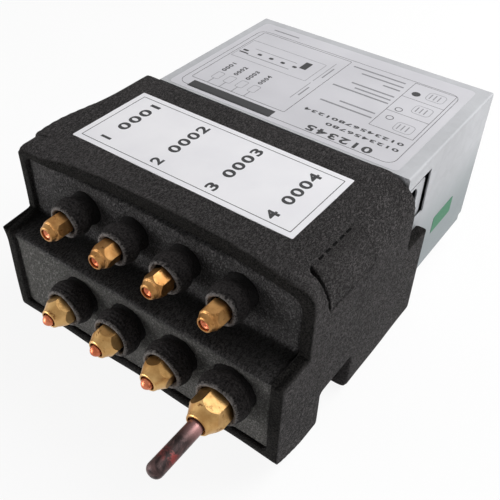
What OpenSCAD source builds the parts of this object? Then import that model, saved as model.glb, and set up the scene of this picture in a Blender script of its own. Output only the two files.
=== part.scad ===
// Refrigerant branch box for a split air conditioner with several indoor units.
// A foam jacket holds the valve block, and a sheet metal control box stands behind it.
// The front faces -Y. The origin is on the underside, about the middle of the flat base.

/* [Foam jacket] */
// Width across the sides of the jacket
foam_w = 272; // [262:1:290]
// Height of the jacket
foam_h = 167.5; // [150:0.5:190]
// Thickness of the jacket
foam_wall = 10; // [7:0.5:12]
// Radius of the wide top corner on the right, seen from the front
corner_r = 36; // [30:1:44]
// Radius of the top corner on the left, seen from the front
left_corner_r = 10; // [6:0.5:20]
// Radius of the two bottom corners, seen from the front
floor_r = 8; // [5:0.5:12]
// Upper front face, measured from the origin
front_y = -110; // [-125:1:-95]
// Depth of the tall part, from the upper front face
upper_depth = 149.5; // [146:0.5:160]
// Depth of the low wings that hold the control box, from the upper front face
wing_depth = 187; // [180:1:210]
// Drop from the top of the jacket to the top of the wings
wing_down = 66.5; // [62:0.5:84]
// How far the lower front stands ahead of the upper front
step_out = 33; // [28:1:40]
// Drop from the top of the jacket to the ledge between the two fronts
ledge_down = 60.5; // [57:0.5:63]
// Rounding of the top front edge
brow_r = 8; // [4:0.5:12]
// Rounding of the front edge under the lower front
lip_r = 6; // [3:0.5:8]
// Rounding of the rear bottom edge
heel_r = 10; // [5:0.5:14]
// Radius of the curve that lifts the front of the underside
toe_r = 200; // [180:5:260]
// Where that curve starts, from the upper front face
toe_y = 50; // [40:1:60]

/* [Side notches] */
// Front of each notch in the bottom edge of a side
notch_y = 26; // [24:1:30]
// Length of a notch
notch_l = 46; // [40:1:50]
// Drop from the top of the jacket to the top of a notch
notch_down = 124.5; // [122:0.5:132]
// Depth of a notch
notch_d = 32; // [20:1:40]

/* [Side flaps] */
// Front slit of each flap, from the upper front face
flap_y = 22; // [18:1:26]
// Length of a flap along the jacket
flap_l = 62; // [50:1:70]
// Fold line of the right flap, as an angle round the wide top corner
fold_angle = 63; // [55:1:70]
// Bottom slit of the right flap, as an angle round the wide top corner
slit_angle = 4; // [2:1:10]
// Width of the cut round a flap
slit_gap = 0.5; // [0.4:0.1:1]
// Width of the right flap's front slit where it gapes at the top
slit_gape = 3.5; // [2:0.5:5]
// Angle that the left flap stands open at rest
flap_open = 20; // [0:1:25]
// How far in from the left side the left flap folds
left_fold_in = 12; // [11.5:0.5:14]

/* [Front panel] */
// Thickness of the stepped foam panel
panel_t = 12; // [10:1:14]
// Depth of the panel behind the edge of the jacket
panel_recess = 3.5; // [2:0.5:5]
// Drop of the panel's ledge below the jacket's ledge
ledge_drop = 4; // [2:0.5:6]

/* [Ports] */
// Distance between neighbouring ports
port_pitch = 50; // [48:0.5:52]
// First port of the upper row, from the middle
liquid_x = -75; // [-78:0.5:-73]
// Drop from the top of the jacket to the upper row
liquid_down = 33.5; // [32:0.5:36]
// First port of the lower row, from the middle
gas_x = -56; // [-58:0.5:-54]
// Drop from the top of the jacket to the lower row
gas_down = 91; // [89:0.5:93]
// Front of the upper nuts, ahead of the upper front face
liquid_reach = 38; // [36:0.5:42]
// Front of the lower nuts, ahead of the lower front face
gas_reach = 31; // [29:0.5:34]
// Front of the wide lower nut, ahead of the lower front face
wide_reach = 38; // [36:0.5:42]
// How far the closed copper tips of the upper row stay behind the front of their nuts
tip_in = 2; // [1:0.5:3]
// How far the closed copper tips of the lower row stand out of their nuts
tip_out = 4; // [3:0.5:8]
// How far the long copper stub stands out of its nut
stub_out = 46; // [40:1:60]

/* [Flare fittings] */
// Tube of the upper ports
liquid_tube_d = 6.35; // [6:0.05:6.5]
// Thread of the upper ports
liquid_thread_d = 11.1; // [10.8:0.05:11.3]
// Spanner size of the upper nuts
liquid_af = 17; // [16.5:0.1:17.4]
// Length of the upper nuts
liquid_nut_l = 19; // [18:0.5:20]
// Tube of the lower ports
gas_tube_d = 9.52; // [9.3:0.02:9.7]
// Thread of the lower ports
gas_thread_d = 15.9; // [15.5:0.05:16.2]
// Spanner size of the lower nuts
gas_af = 22; // [21.5:0.1:22.4]
// Length of the lower nuts
gas_nut_l = 22; // [21:0.5:23]
// Tube of the wide lower port
wide_tube_d = 12.7; // [12.4:0.05:13]
// Thread of the wide lower port
wide_thread_d = 19; // [18.7:0.05:19.3]
// Spanner size of the wide lower nut
wide_af = 26; // [25.5:0.1:26.4]
// Length of the wide lower nut
wide_nut_l = 25; // [24:0.5:26]
// Tube of the gas main
main_tube_d = 15.88; // [15.6:0.02:16.2]
// Thread of the gas main
main_thread_d = 22.2; // [21.9:0.05:22.6]
// Spanner size of the gas main's nut
main_af = 29; // [28.5:0.1:29.5]
// Length of the gas main's nut
main_nut_l = 27; // [26:0.5:28]
// Wall of the copper tubes and bonnets
copper_wall = 0.8; // [0.7:0.05:1]
// Metal round the tube at a nut's nose
nose_wall = 3; // [2.5:0.1:3.2]
// Share of a nut's length that is hexagonal
hex_share = 0.55; // [0.45:0.05:0.6]

/* [Pipe sleeves] */
// Foam round the nuts
sleeve_wall = 3.4; // [3:0.1:4]
// Upper sleeves, ahead of the upper front face
liquid_sleeve = 20.5; // [19:0.5:22]
// Lower sleeves, ahead of the lower front face
gas_sleeve = 17; // [15:0.5:18]
// Sleeves of the mains, outside the left wall
main_sleeve = 17; // [14:0.5:18]

/* [Headers] */
// Diameter of the liquid header
liquid_header_d = 12.7; // [12:0.1:14]
// Distance of the liquid header behind the upper front face
liquid_header_y = 54; // [53:0.5:57]
// Drop from the top of the jacket to the liquid header
header_down = 69.5; // [68:0.5:71]
// Diameter of the gas header
gas_header_d = 22.2; // [21:0.1:23]
// Distance of the gas header behind the upper front face
gas_header_y = 100; // [98:0.5:104]
// Wall of both headers
header_wall = 1.2; // [1:0.1:1.5]
// Length of both headers to the right of the middle
header_right = 106; // [104:1:112]

/* [Expansion valves] */
// Diameter of a valve body
valve_d = 20; // [19:0.5:22]
// Length of a valve body
valve_l = 24; // [22:0.5:26]
// Front of the valve bodies, behind the upper front face
valve_y = 42; // [41:0.5:43]
// Diameter of the closed can behind a valve body
can_d = 17; // [16.4:0.2:18]
// Length of a can
can_l = 38; // [36:1:42]
// Diameter of a coil
coil_d = 34; // [30:1:36]
// Length of a coil
coil_l = 24; // [20:1:26]
// Diameter of a needle
needle_d = 3; // [2.6:0.1:3.4]

/* [Control box] */
// Thickness of the sheet steel
sheet_t = 1.2; // [1:0.1:1.5]
// Rear of the box, behind the upper front face
box_rear = 317.7; // [300:1:340]
// Height of the underside of the box
box_floor = 25; // [23:0.5:27]
// Height of the cover's rear flange
flange_h = 48; // [30:1:60]
// Rear edge of the cable window, behind the upper front face
window_rear = 194; // [188:1:200]
// Drop from the top of the box to the cable window
window_down = 13.4; // [8:0.2:18]
// Height of the cable window
window_h = 43.4; // [38:0.2:46]
// Rear edge of the cable plate, behind the upper front face
plate_rear = 192; // [186:1:193]
// Drop from the top of the box to the cable plate
plate_down = 16.8; // [15:0.2:20]
// Width of the cable slot
slot_w = 17; // [14:0.5:18]
// Drop from the top of the box to the cable slot
slot_down = 23.8; // [22:0.2:26]
// Length of the cable slot
slot_l = 40; // [34:1:44]
// Distance of the cover's screws from the middle
screw_x = 90; // [70:1:105]

/* [Control board] */
// Width of the board
board_w = 165; // [150:1:170]
// Depth of the board
board_l = 130; // [120:1:135]
// Height of the board above the floor of the box
board_lift = 14; // [10:0.5:20]
// Thickness of the board
board_t = 1.6; // [1.2:0.1:2]
// Length of the terminal block
terminal_l = 72; // [66:1:78]

/* [Hidden] */
$fn = 48;
// Space between pieces that are pushed together
fit = 0.3;
// Space round a tube in its socket
joint_gap = 0.1;
// Past the end of a cut
over = 1;
port_count = 4;
inner_r = 4;

// Outline of the jacket and of the space inside it
void_w = foam_w - 2 * foam_wall;
void_top = foam_h - foam_wall;
corner_x = foam_w / 2 - corner_r;
corner_z = foam_h - corner_r;
wing_z = foam_h - wing_down;
ledge_z = foam_h - ledge_down;
notch_h = foam_h - notch_down;
lower_front = -step_out;
panel_y = panel_recess;
panel_low_y = lower_front + panel_recess;
panel_ledge = ledge_z - ledge_drop;
block_cover = 7;
block_top = notch_h + block_cover;
bulkhead_t = 12;
bulkhead_y = upper_depth - bulkhead_t - fit;

// Heights of the two rows and of the liquid header
liquid_z = foam_h - liquid_down;
gas_z = foam_h - gas_down;
liquid_header_z = foam_h - header_down;

// Fold line of the left flap, and its bottom slit, level with the right one
left_fold_x = -foam_w / 2 + left_fold_in;
left_slit_z = corner_z + corner_r * sin(slit_angle);

// Flare fittings: tube, thread, spanner size and nut length
liquid_fit = [liquid_tube_d, liquid_thread_d, liquid_af, liquid_nut_l];
gas_fit = [gas_tube_d, gas_thread_d, gas_af, gas_nut_l];
wide_fit = [wide_tube_d, wide_thread_d, wide_af, wide_nut_l];
main_fit = [main_tube_d, main_thread_d, main_af, main_nut_l];
flare_t = copper_wall * sqrt(2);
flare_gap = fit * sqrt(2);
// A union's spanner collar is this much smaller than its nut
collar_less = 3;
collar_l = 8;
socket_l = 8;
shank_wall = 2.5;
// A union's way through is this much narrower than its nose
way_less = 0.6;
// A flare stops this far inside the thread
flare_less = 0.5;
// A tube is drawn in this much inside a nut or a socket
neck_less = 0.2;
// How far a branch tube reaches into a header
dip = 3;
// Inner ends of the unions
liquid_union_end = 30;
gas_union_end = 4;
main_union_in = 24;
main_union_end = -foam_w / 2 + main_union_in;

function port_fit(i) = i < port_count - 1 ? gas_fit : wide_fit;
function branch_d(i) = port_fit(i)[0] - 2 * neck_less;
function nut_bore(f) = f[1] / 2 + fit;
function corner_d(f) = f[2] / cos(30);
function sleeve_bore(f) = corner_d(f) / 2 + 2 * fit;
function sleeve_r(f) = sleeve_bore(f) + sleeve_wall;
// Axial place of the cone in a nut: where it would start at the bore
function cone_z(f) = f[3] * hex_share;
function liquid_port(i) = [liquid_x + i * port_pitch, -liquid_reach + liquid_nut_l, liquid_z];
function gas_port(i) = [
    gas_x + i * port_pitch,
    lower_front - (i < port_count - 1 ? gas_reach - gas_nut_l : wide_reach - wide_nut_l),
    gas_z
];
// Turn of each hexagon about its own axis
first_turn = 17;
next_turn = 23;
function nut_turn(i) = first_turn + next_turn * i;

// Mains leave through the left wall, in line with their headers
main_out = 11;
main_liquid = [-foam_w / 2 - main_out, liquid_header_y, liquid_header_z];
main_gas = [-foam_w / 2 - main_out, gas_header_y, gas_z];

// Valves, along the axis of each upper port
can_y = valve_y + valve_l;
coil_ahead = 2;
coil_y = can_y + (can_l - coil_l) / 2 - coil_ahead;
can_wall = 0.6;
rotor_end = 5;
rotor_l = can_l - 2 * rotor_end;
rotor_y = can_y + rotor_end;
orifice_d = needle_d + 2 * joint_gap;
seat_l = 5;
drop_y = liquid_header_y;

// Control box
box_w = void_w - 2 * fit;
box_front = upper_depth + 2 * fit;
cover_drop = 0.7;
box_top = foam_h - cover_drop;
window_low = box_top - window_down - window_h;
plate_top = box_top - plate_down;
slot_top = box_top - slot_down;
base_w = box_w - 2 * sheet_t - 2 * fit;
base_front = box_front;
base_rear = box_rear - sheet_t - fit;
base_top = box_top - sheet_t - fit;
lip_h = 20;
bend_r = sheet_t + 2 * fit;
foot_cut = 6;
plate_x = base_w / 2 - sheet_t - fit - sheet_t;
plate_front = base_front + sheet_t + 2 * fit;
plate_edge = 11;
slot_y = plate_front + plate_edge + slot_w / 2;
screw_d = 4;
screw_head_d = 7.6;
screw_up = 8;
screw_z = box_top - flange_h + screw_up;
wire_x = 60;
wire_z = 118;
wire_d = 20;
board_edge = 6;
board_y = base_rear - sheet_t - board_edge - board_l;
board_left = 30;
board_x = -board_w / 2 - board_left;
board_z = box_floor + sheet_t + board_lift;
stand_d = 7;
stand_in = 8;
terminal_w = 30;
terminal_h = 22;
terminal_ahead = 14;
terminal_x = board_x + board_w + board_edge;
terminal_y = board_y + terminal_ahead;
terminal_n = 6;
// Each screw of the terminal block sits in a bay
bay_w = 8;
bay_l = 12;
bay_h = 8;

// All modules below measure y from the upper front face; this puts them in the part's frame.
module placed() {
    translate([0, front_y, 0]) children();
}

// A flat shape drawn across the width, pushed along Y between two places
module along_y(from, to) {
    translate([0, to, 0]) rotate([90, 0, 0]) linear_extrude(to - from) children();
}

// A flat shape drawn in depth and height, pushed across the width
module across(w) {
    rotate([90, 0, 90]) linear_extrude(w, center = true) children();
}

// Points local Z straight out of the front, from a place
module out_front(at) {
    translate(at) rotate([90, 0, 0]) children();
}

// Points local Z straight out of the left side, from a place
module out_left(at) {
    translate(at) rotate([0, -90, 0]) children();
}

// Cross section with its own radius for each top corner and one for both bottom corners
module arch_section(w, low, top, left_r, right_r, low_r) {
    left = -w / 2;
    right = w / 2;
    side_r = max(left_r, low_r);
    mid = right - right_r;
    translate([left + side_r, low]) square([mid - left - side_r, top - low]);
    translate([left, low + low_r]) square([mid - left, top - low - left_r - low_r]);
    translate([mid - over, low + low_r]) square([right_r + over, top - low - right_r - low_r]);
    translate([left + low_r, low]) square([w - 2 * low_r, 2 * low_r]);
    translate([left + left_r, top - left_r]) circle(left_r);
    translate([mid, top - right_r]) circle(right_r);
    for (s = [-1, 1])
        translate([s * (right - low_r), low + low_r]) circle(low_r);
}

// Everything above the underside, which curves up towards the front
module above_toe(depth, lift) {
    translate([toe_y, lift]) square([depth, foam_h]);
    translate([toe_y, toe_r]) circle(toe_r - lift, $fn = 96);
}

// Side view of the jacket, with its step at the front and its low wings at the rear
module side_outline() {
    intersection() {
        above_toe(wing_depth, 0);
        difference() {
            union() {
                square([upper_depth, foam_h]);
                translate([lower_front, 0]) square([wing_depth - lower_front, wing_z]);
                translate([lower_front, 0]) square([step_out + over, ledge_z]);
            }
            edge_cut([0, foam_h], brow_r, 1, -1);
            edge_cut([lower_front, toe_lift(lower_front)], lip_r, 1, 1);
            edge_cut([wing_depth, 0], heel_r, -1, 1);
        }
    }
}

// Height of the curved underside at a place in front of where the curve starts
function toe_lift(y) = toe_r - sqrt(toe_r * toe_r - (toe_y - y) * (toe_y - y));

// Takes a square corner off a flat shape and leaves a quarter round
module edge_cut(at, r, dy, dz) {
    translate(at) difference() {
        translate([dy > 0 ? -over : -r, dz > 0 ? -over : -r]) square(r + over);
        translate([dy * r, dz * r]) circle(r);
    }
}

// Space inside the jacket, or a filling that stays clear of the jacket
module jacket_void(inset, from, to) {
    intersection() {
        along_y(from, to)
            arch_section(void_w - 2 * inset, foam_wall + inset, void_top - inset,
                max(left_corner_r - foam_wall - inset, inner_r), corner_r - foam_wall - inset, inner_r);
        across(void_w) above_toe(wing_depth + 2 * over, foam_wall + inset);
    }
}

// The jacket before its notches, holes and flaps are cut
module jacket_shell() {
    difference() {
        intersection() {
            along_y(lower_front - over, wing_depth + over)
                arch_section(foam_w, 0, foam_h, left_corner_r, corner_r, floor_r);
            across(foam_w) side_outline();
        }
        jacket_void(0, lower_front - 2 * over, wing_depth + 2 * over);
    }
}

// Pockets in the bottom edges of both sides
module side_notches(grow) {
    for (s = [-1, 1])
        translate([s > 0 ? foam_w / 2 - notch_d - grow : -foam_w / 2 - over, notch_y - grow, -over])
            cube([notch_d + grow + over, notch_l + 2 * grow, notch_h + over + grow]);
}

// Wedge round the right top corner from the fold line down to the bottom slit
module flap_wedge(gap, gape) {
    reach = 2 * corner_r;
    low = slit_angle + asin(gap / corner_r);
    difference() {
        along_y(flap_y + gap, flap_y + flap_l - gap)
            translate([corner_x, corner_z])
                polygon([
                    [0, 0],
                    reach * [cos(low), sin(low)],
                    reach * [1, 1],
                    reach * [cos(fold_angle), sin(fold_angle)]
                ]);
        across(foam_w + 2 * over)
            polygon([
                [flap_y - over, corner_z],
                [flap_y + gap, corner_z + corner_r * sin(low)],
                [flap_y + gape, foam_h],
                [flap_y - over, foam_h]
            ]);
    }
}

module right_flap() {
    color([0.17, 0.17, 0.17])
        intersection() {
            jacket_shell();
            difference() {
                flap_wedge(slit_gap, slit_gape);
                fold_relief();
            }
        }
}

// Keeps the flap off the jacket along the fold line
module fold_relief() {
    translate([corner_x, 0, corner_z]) rotate([0, 90 - fold_angle, 0])
        translate([-fit, flap_y - over, 0]) cube([2 * fit, flap_l + 2 * over, 2 * corner_r]);
}

// Block round the left top corner from the fold line down to the bottom slit
module left_block(gap, fold_gap) {
    low = left_slit_z + gap;
    left = -foam_w / 2 - over;
    translate([left, flap_y + gap, low])
        cube([left_fold_x - fold_gap - left, flap_l - 2 * gap, foam_h + over - low]);
}

// The left flap stands a little open, turned about its fold line in the top of the jacket
module left_flap() {
    color([0.17, 0.17, 0.17])
        translate([left_fold_x, 0, foam_h]) rotate([0, flap_open, 0]) translate([-left_fold_x, 0, -foam_h])
            intersection() {
                jacket_shell();
                left_block(slit_gap, fit);
            }
}

module foam_jacket() {
    color([0.17, 0.17, 0.17])
        difference() {
            jacket_shell();
            side_notches(0);
            flap_wedge(0, 0);
            left_block(0, 0);
            main_holes();
        }
}

// Holes in the left wall for the sleeves of the mains
module main_holes() {
    hole_l = 2 * foam_wall + 2 * over;
    for (m = [[main_liquid, gas_fit], [main_gas, main_fit]])
        translate([-foam_w / 2 - foam_wall, m[0][1], m[0][2]]) rotate([0, 90, 0])
            cylinder(hole_l, r = sleeve_r(m[1]) + joint_gap);
}

// Stepped foam panel that closes the front of the jacket behind its edge
module front_panel() {
    color([0.12, 0.12, 0.12])
        difference() {
            intersection() {
                jacket_void(fit, panel_low_y, panel_y + panel_t);
                across(void_w)
                    polygon([
                        [panel_low_y, 0],
                        [panel_low_y, panel_ledge],
                        [panel_y, panel_ledge],
                        [panel_y, foam_h],
                        [panel_y + panel_t, foam_h],
                        [panel_y + panel_t, panel_ledge - panel_t],
                        [panel_low_y + panel_t, panel_ledge - panel_t],
                        [panel_low_y + panel_t, 0]
                    ]);
            }
            for (i = [0 : port_count - 1]) {
                out_front(liquid_port(i)) panel_hole(liquid_fit);
                out_front(gas_port(i)) panel_hole(port_fit(i));
            }
        }
}

module panel_hole(f) {
    translate([0, 0, -step_out - liquid_reach - panel_t])
        cylinder(2 * (step_out + liquid_reach + panel_t), r = sleeve_r(f) + joint_gap);
}

// Foam block that carries the pipes in front and the control box at the rear
module base_block() {
    color([0.14, 0.14, 0.14])
        difference() {
            intersection() {
                jacket_void(fit, panel_y + panel_t + fit, wing_depth - over);
                across(void_w) {
                    square([bulkhead_y - fit, block_top]);
                    square([wing_depth, box_floor - fit]);
                }
            }
            side_notches(0);
        }
}

// Foam wall between the pipes and the control box
module rear_bulkhead() {
    color([0.14, 0.14, 0.14])
        difference() {
            intersection() {
                jacket_void(fit, bulkhead_y, bulkhead_y + bulkhead_t);
                translate([-foam_w / 2, 0, box_floor]) cube([foam_w, foam_w, foam_h]);
            }
            translate([wire_x, bulkhead_y - over, wire_z]) rotate([-90, 0, 0])
                cylinder(bulkhead_t + 2 * over, d = wire_d);
        }
}

// Foam sleeve round a port; local Z = 0 is the rear face of the nut
module sleeve(f, front, back) {
    translate([0, 0, back])
        difference() {
            cylinder(front - back, r = sleeve_r(f));
            translate([0, 0, -over]) cylinder(front - back + 2 * over, r = sleeve_bore(f));
        }
}

module liquid_sleeves() {
    nut_back = liquid_port(0)[1];
    color([0.2, 0.2, 0.2])
        for (i = [0 : port_count - 1])
            out_front(liquid_port(i))
                sleeve(liquid_fit, nut_back + liquid_sleeve, nut_back - panel_y - panel_t);
}

module gas_sleeves() {
    color([0.2, 0.2, 0.2])
        for (i = [0 : port_count - 1]) {
            nut_back = gas_port(i)[1];
            out_front(gas_port(i))
                sleeve(port_fit(i), nut_back - lower_front + gas_sleeve,
                    nut_back - panel_low_y - panel_t);
        }
}

module main_sleeves() {
    color([0.2, 0.2, 0.2]) {
        out_left(main_liquid) sleeve(gas_fit, main_sleeve - main_out, -main_out - foam_wall);
        out_left(main_gas) sleeve(main_fit, main_sleeve - main_out, -main_out - foam_wall);
    }
}

// Brass union; local Z = 0 is the rear face of its nut, and the nose is a cone of 45 degrees
module flare_union(f, tail, tube_d) {
    seat = cone_z(f) - 2 * flare_gap - flare_t;
    nose_r = f[0] / 2 - copper_wall;
    collar_top = -fit;
    collar_af = f[2] - collar_less;
    difference() {
        union() {
            translate([0, 0, collar_top]) cylinder(seat - collar_top + nut_bore(f) - f[1] / 2, d = f[1]);
            translate([0, 0, seat + nut_bore(f) - f[1] / 2])
                cylinder(f[1] / 2 - nose_r, r1 = f[1] / 2, r2 = nose_r);
            translate([0, 0, collar_top - collar_l])
                cylinder(collar_l, d = collar_af / cos(30), $fn = 6);
            translate([0, 0, -tail]) cylinder(tail - collar_l, d = f[0] + 2 * shank_wall);
        }
        translate([0, 0, -tail - over]) cylinder(tail + f[3] + over, r = nose_r - way_less);
        translate([0, 0, -tail - over]) cylinder(socket_l + over, d = tube_d + 2 * joint_gap);
    }
}

module liquid_unions() {
    color([0.72, 0.55, 0.25])
        for (i = [0 : port_count - 1])
            out_front(liquid_port(i))
                flare_union(liquid_fit, liquid_union_end - liquid_port(i)[1], liquid_fit[0]);
}

module gas_unions() {
    color([0.72, 0.55, 0.25])
        for (i = [0 : port_count - 1])
            out_front(gas_port(i))
                flare_union(port_fit(i), gas_union_end - gas_port(i)[1], branch_d(i));
}

module main_unions() {
    color([0.72, 0.55, 0.25]) {
        out_left(main_liquid) flare_union(gas_fit, main_union_end - main_liquid[0], gas_fit[0]);
        out_left(main_gas) flare_union(main_fit, main_union_end - main_gas[0], main_fit[0]);
    }
}

// Brass flare nut; the hexagon runs into a cone and a short round nose
module flare_nut(f) {
    corner = corner_d(f) / 2;
    nose = f[0] / 2 + nose_wall;
    nose_l = 3;
    rim = 0.8;
    tube_hole = f[0] / 2 + fit;
    difference() {
        intersection() {
            cylinder(f[3], r = corner, $fn = 6);
            rotate_extrude()
                polygon([
                    [0, 0],
                    [corner - rim, 0],
                    [corner, rim],
                    [corner, cone_z(f)],
                    [nose, f[3] - nose_l],
                    [nose, f[3]],
                    [0, f[3]]
                ]);
        }
        translate([0, 0, -over]) cylinder(cone_z(f) + over, r = nut_bore(f));
        translate([0, 0, cone_z(f)])
            cylinder(nut_bore(f) - tube_hole, r1 = nut_bore(f), r2 = tube_hole);
        cylinder(f[3] + over, r = tube_hole);
    }
}

// Copper bonnet: a short tube with a flare of 45 degrees at its back and a closed front
module bonnet(f, tip) {
    tube_r = f[0] / 2;
    inside_r = tube_r - copper_wall;
    rim_r = f[1] / 2 - flare_less;
    chamfer = tube_r / 2;
    cap = tip - chamfer - copper_wall;
    back = cone_z(f) - flare_gap + nut_bore(f);
    free = f[3] + fit;
    neck_r = tip > free ? tube_r - neck_less : tube_r;
    step = tip > free ? [[tube_r, free], [neck_r, free]] : [];
    rotate_extrude()
        polygon(concat(
            [
                [rim_r, back - flare_t - rim_r],
                [inside_r, back - flare_t - inside_r],
                [inside_r, cap],
                [0, cap],
                [0, tip],
                [chamfer, tip],
                [tube_r, tip - chamfer]
            ],
            step,
            [
                [neck_r, back - neck_r],
                [rim_r, back - rim_r]
            ]
        ));
}

module liquid_nut(i) {
    color([0.78, 0.6, 0.28]) out_front(liquid_port(i)) rotate(nut_turn(i)) flare_nut(liquid_fit);
}

module gas_nut(i) {
    color([0.78, 0.6, 0.28]) out_front(gas_port(i)) rotate(nut_turn(i + 2)) flare_nut(port_fit(i));
}

module main_liquid_nut() {
    color([0.78, 0.6, 0.28]) out_left(main_liquid) flare_nut(gas_fit);
}

module main_gas_nut() {
    color([0.78, 0.6, 0.28]) out_left(main_gas) rotate(nut_turn(1)) flare_nut(main_fit);
}

// The tips of the upper bonnets stay inside their nuts
module liquid_bonnet(i) {
    color([0.72, 0.4, 0.25]) out_front(liquid_port(i)) bonnet(liquid_fit, liquid_nut_l - tip_in);
}

module gas_bonnet(i) {
    color([0.72, 0.4, 0.25]) out_front(gas_port(i)) bonnet(gas_fit, gas_nut_l + tip_out);
}

module gas_stub(i) {
    color([0.4, 0.22, 0.2]) out_front(gas_port(i)) bonnet(wide_fit, wide_nut_l + stub_out);
}

module main_liquid_bonnet() {
    color([0.72, 0.4, 0.25]) out_left(main_liquid) bonnet(gas_fit, gas_nut_l + tip_out);
}

module main_gas_bonnet() {
    color([0.72, 0.4, 0.25]) out_left(main_gas) bonnet(main_fit, main_nut_l + tip_out);
}

// A straight copper tube, standing on local Z = 0
module tube(d, wall, l) {
    difference() {
        cylinder(l, d = d);
        translate([0, 0, -over]) cylinder(l + 2 * over, d = d - 2 * wall);
    }
}

// Header along X with a narrower neck into its union, closed at the right end
module header(d, f, at) {
    neck_x = main_union_end - socket_l + joint_gap;
    neck_l = 12;
    left = main_union_end + neck_l;
    shoulder = 3;
    translate([0, at[1], at[2]]) rotate([0, 90, 0])
        difference() {
            union() {
                translate([0, 0, neck_x]) cylinder(left - neck_x + over, d = f[0]);
                translate([0, 0, left]) cylinder(header_right - left, d = d);
            }
            translate([0, 0, neck_x - over])
                cylinder(left - neck_x + shoulder + over, d = f[0] - 2 * header_wall);
            translate([0, 0, left + shoulder])
                cylinder(header_right - left - 2 * shoulder, d = d - 2 * header_wall);
        }
}

module liquid_header() {
    color([0.7, 0.38, 0.24])
        difference() {
            header(liquid_header_d, gas_fit, main_liquid);
            for (i = [0 : port_count - 1])
                translate([liquid_port(i)[0], drop_y, liquid_header_z])
                    cylinder(liquid_header_d, d = liquid_tube_d + 2 * joint_gap);
        }
}

module gas_header() {
    color([0.7, 0.38, 0.24])
        difference() {
            header(gas_header_d, main_fit, main_gas);
            for (i = [0 : port_count - 1])
                out_front([gas_port(i)[0], gas_header_y, gas_z])
                    cylinder(gas_header_d, d = branch_d(i) + 2 * joint_gap);
        }
}

// Tubes from the upper unions to the valves
module liquid_links() {
    from = liquid_union_end - socket_l + joint_gap;
    to = valve_y + seat_l - joint_gap;
    color([0.7, 0.38, 0.24])
        for (i = [0 : port_count - 1])
            out_front([liquid_port(i)[0], to, liquid_z]) tube(liquid_tube_d, copper_wall, to - from);
}

// Tubes from the liquid header up to the valves
module liquid_drops() {
    from = liquid_header_z + liquid_header_d / 2 - dip;
    to = liquid_z - valve_d / 2 + dip;
    color([0.7, 0.38, 0.24])
        for (i = [0 : port_count - 1])
            translate([liquid_port(i)[0], drop_y, from]) tube(liquid_tube_d, copper_wall, to - from);
}

// Tubes from the lower unions back to the gas header
module gas_branches() {
    from = gas_union_end - socket_l + joint_gap;
    to = gas_header_y - gas_header_d / 2 + dip;
    color([0.7, 0.38, 0.24])
        for (i = [0 : port_count - 1])
            out_front([gas_port(i)[0], to, gas_z])
                tube(branch_d(i), copper_wall, to - from);
}

// Two steel brackets that stand on the foam block and carry both headers
module pipe_brackets() {
    bracket_t = 2;
    foot_w = 14;
    ahead = 14;
    behind = 5;
    above = 6;
    front = liquid_header_y - ahead;
    depth = gas_header_y + gas_header_d / 2 + behind - front;
    height = liquid_header_z + liquid_header_d / 2 + above - block_top;
    color([0.72, 0.74, 0.76])
        for (i = [0, 2])
            translate([(gas_port(i)[0] + liquid_port(i + 1)[0]) / 2, 0, 0])
                difference() {
                    translate([0, front, block_top]) {
                        cube([bracket_t, depth, height]);
                        cube([foot_w, depth, bracket_t]);
                    }
                    for (h = [[main_liquid, liquid_header_d], [main_gas, gas_header_d]])
                        translate([-over, h[0][1], h[0][2]]) rotate([0, 90, 0])
                            cylinder(bracket_t + 2 * over, d = h[1] + 2 * joint_gap);
                }
}

// Expansion valve body: front socket, seat, chamber and a side socket underneath
module valve_bodies() {
    chamber_d = 10;
    way_d = 3;
    socket_d = liquid_tube_d + 2 * joint_gap;
    color([0.72, 0.55, 0.25])
        for (i = [0 : port_count - 1])
            out_front([liquid_port(i)[0], can_y, liquid_z])
                difference() {
                    cylinder(valve_l, d = valve_d);
                    translate([0, 0, valve_l - seat_l]) cylinder(seat_l + over, d = socket_d);
                    cylinder(valve_l, d = orifice_d);
                    translate([0, 0, -over]) cylinder(valve_l - 2 * seat_l + over, d = chamber_d);
                    translate([0, 0, can_y - drop_y]) rotate([90, 0, 0]) {
                        cylinder(valve_d, d = way_d);
                        translate([0, 0, valve_d / 2 - dip - joint_gap])
                            cylinder(valve_d, d = socket_d);
                    }
                }
}

module valve_cans() {
    color([0.78, 0.79, 0.8])
        for (i = [0 : port_count - 1])
            translate([liquid_port(i)[0], can_y, liquid_z]) rotate([-90, 0, 0])
                difference() {
                    cylinder(can_l, d = can_d);
                    translate([0, 0, -over]) cylinder(can_l, d = can_d - 2 * can_wall);
                }
}

module valve_coils() {
    lead_w = 12;
    lead_h = 4;
    color([0.1, 0.1, 0.12])
        for (i = [0 : port_count - 1])
            translate([liquid_port(i)[0], coil_y, liquid_z]) rotate([-90, 0, 0])
                difference() {
                    union() {
                        cylinder(coil_l, d = coil_d);
                        translate([-lead_w / 2, -coil_d / 2 - lead_h, lead_h])
                            cube([lead_w, coil_d / 2 + lead_h, coil_l - 2 * lead_h]);
                    }
                    translate([0, 0, -over]) cylinder(coil_l + 2 * over, d = can_d + 2 * joint_gap);
                }
}

// Magnet rotor inside a can
module valve_rotor(i) {
    gap = 0.45;
    color([0.25, 0.25, 0.27])
        translate([liquid_port(i)[0], rotor_y, liquid_z]) rotate([-90, 0, 0])
            difference() {
                cylinder(rotor_l, d = can_d - 2 * can_wall - 2 * gap);
                translate([0, 0, -over]) cylinder(rotor_l + 2 * over, d = needle_d + 2 * gap);
            }
}

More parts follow.
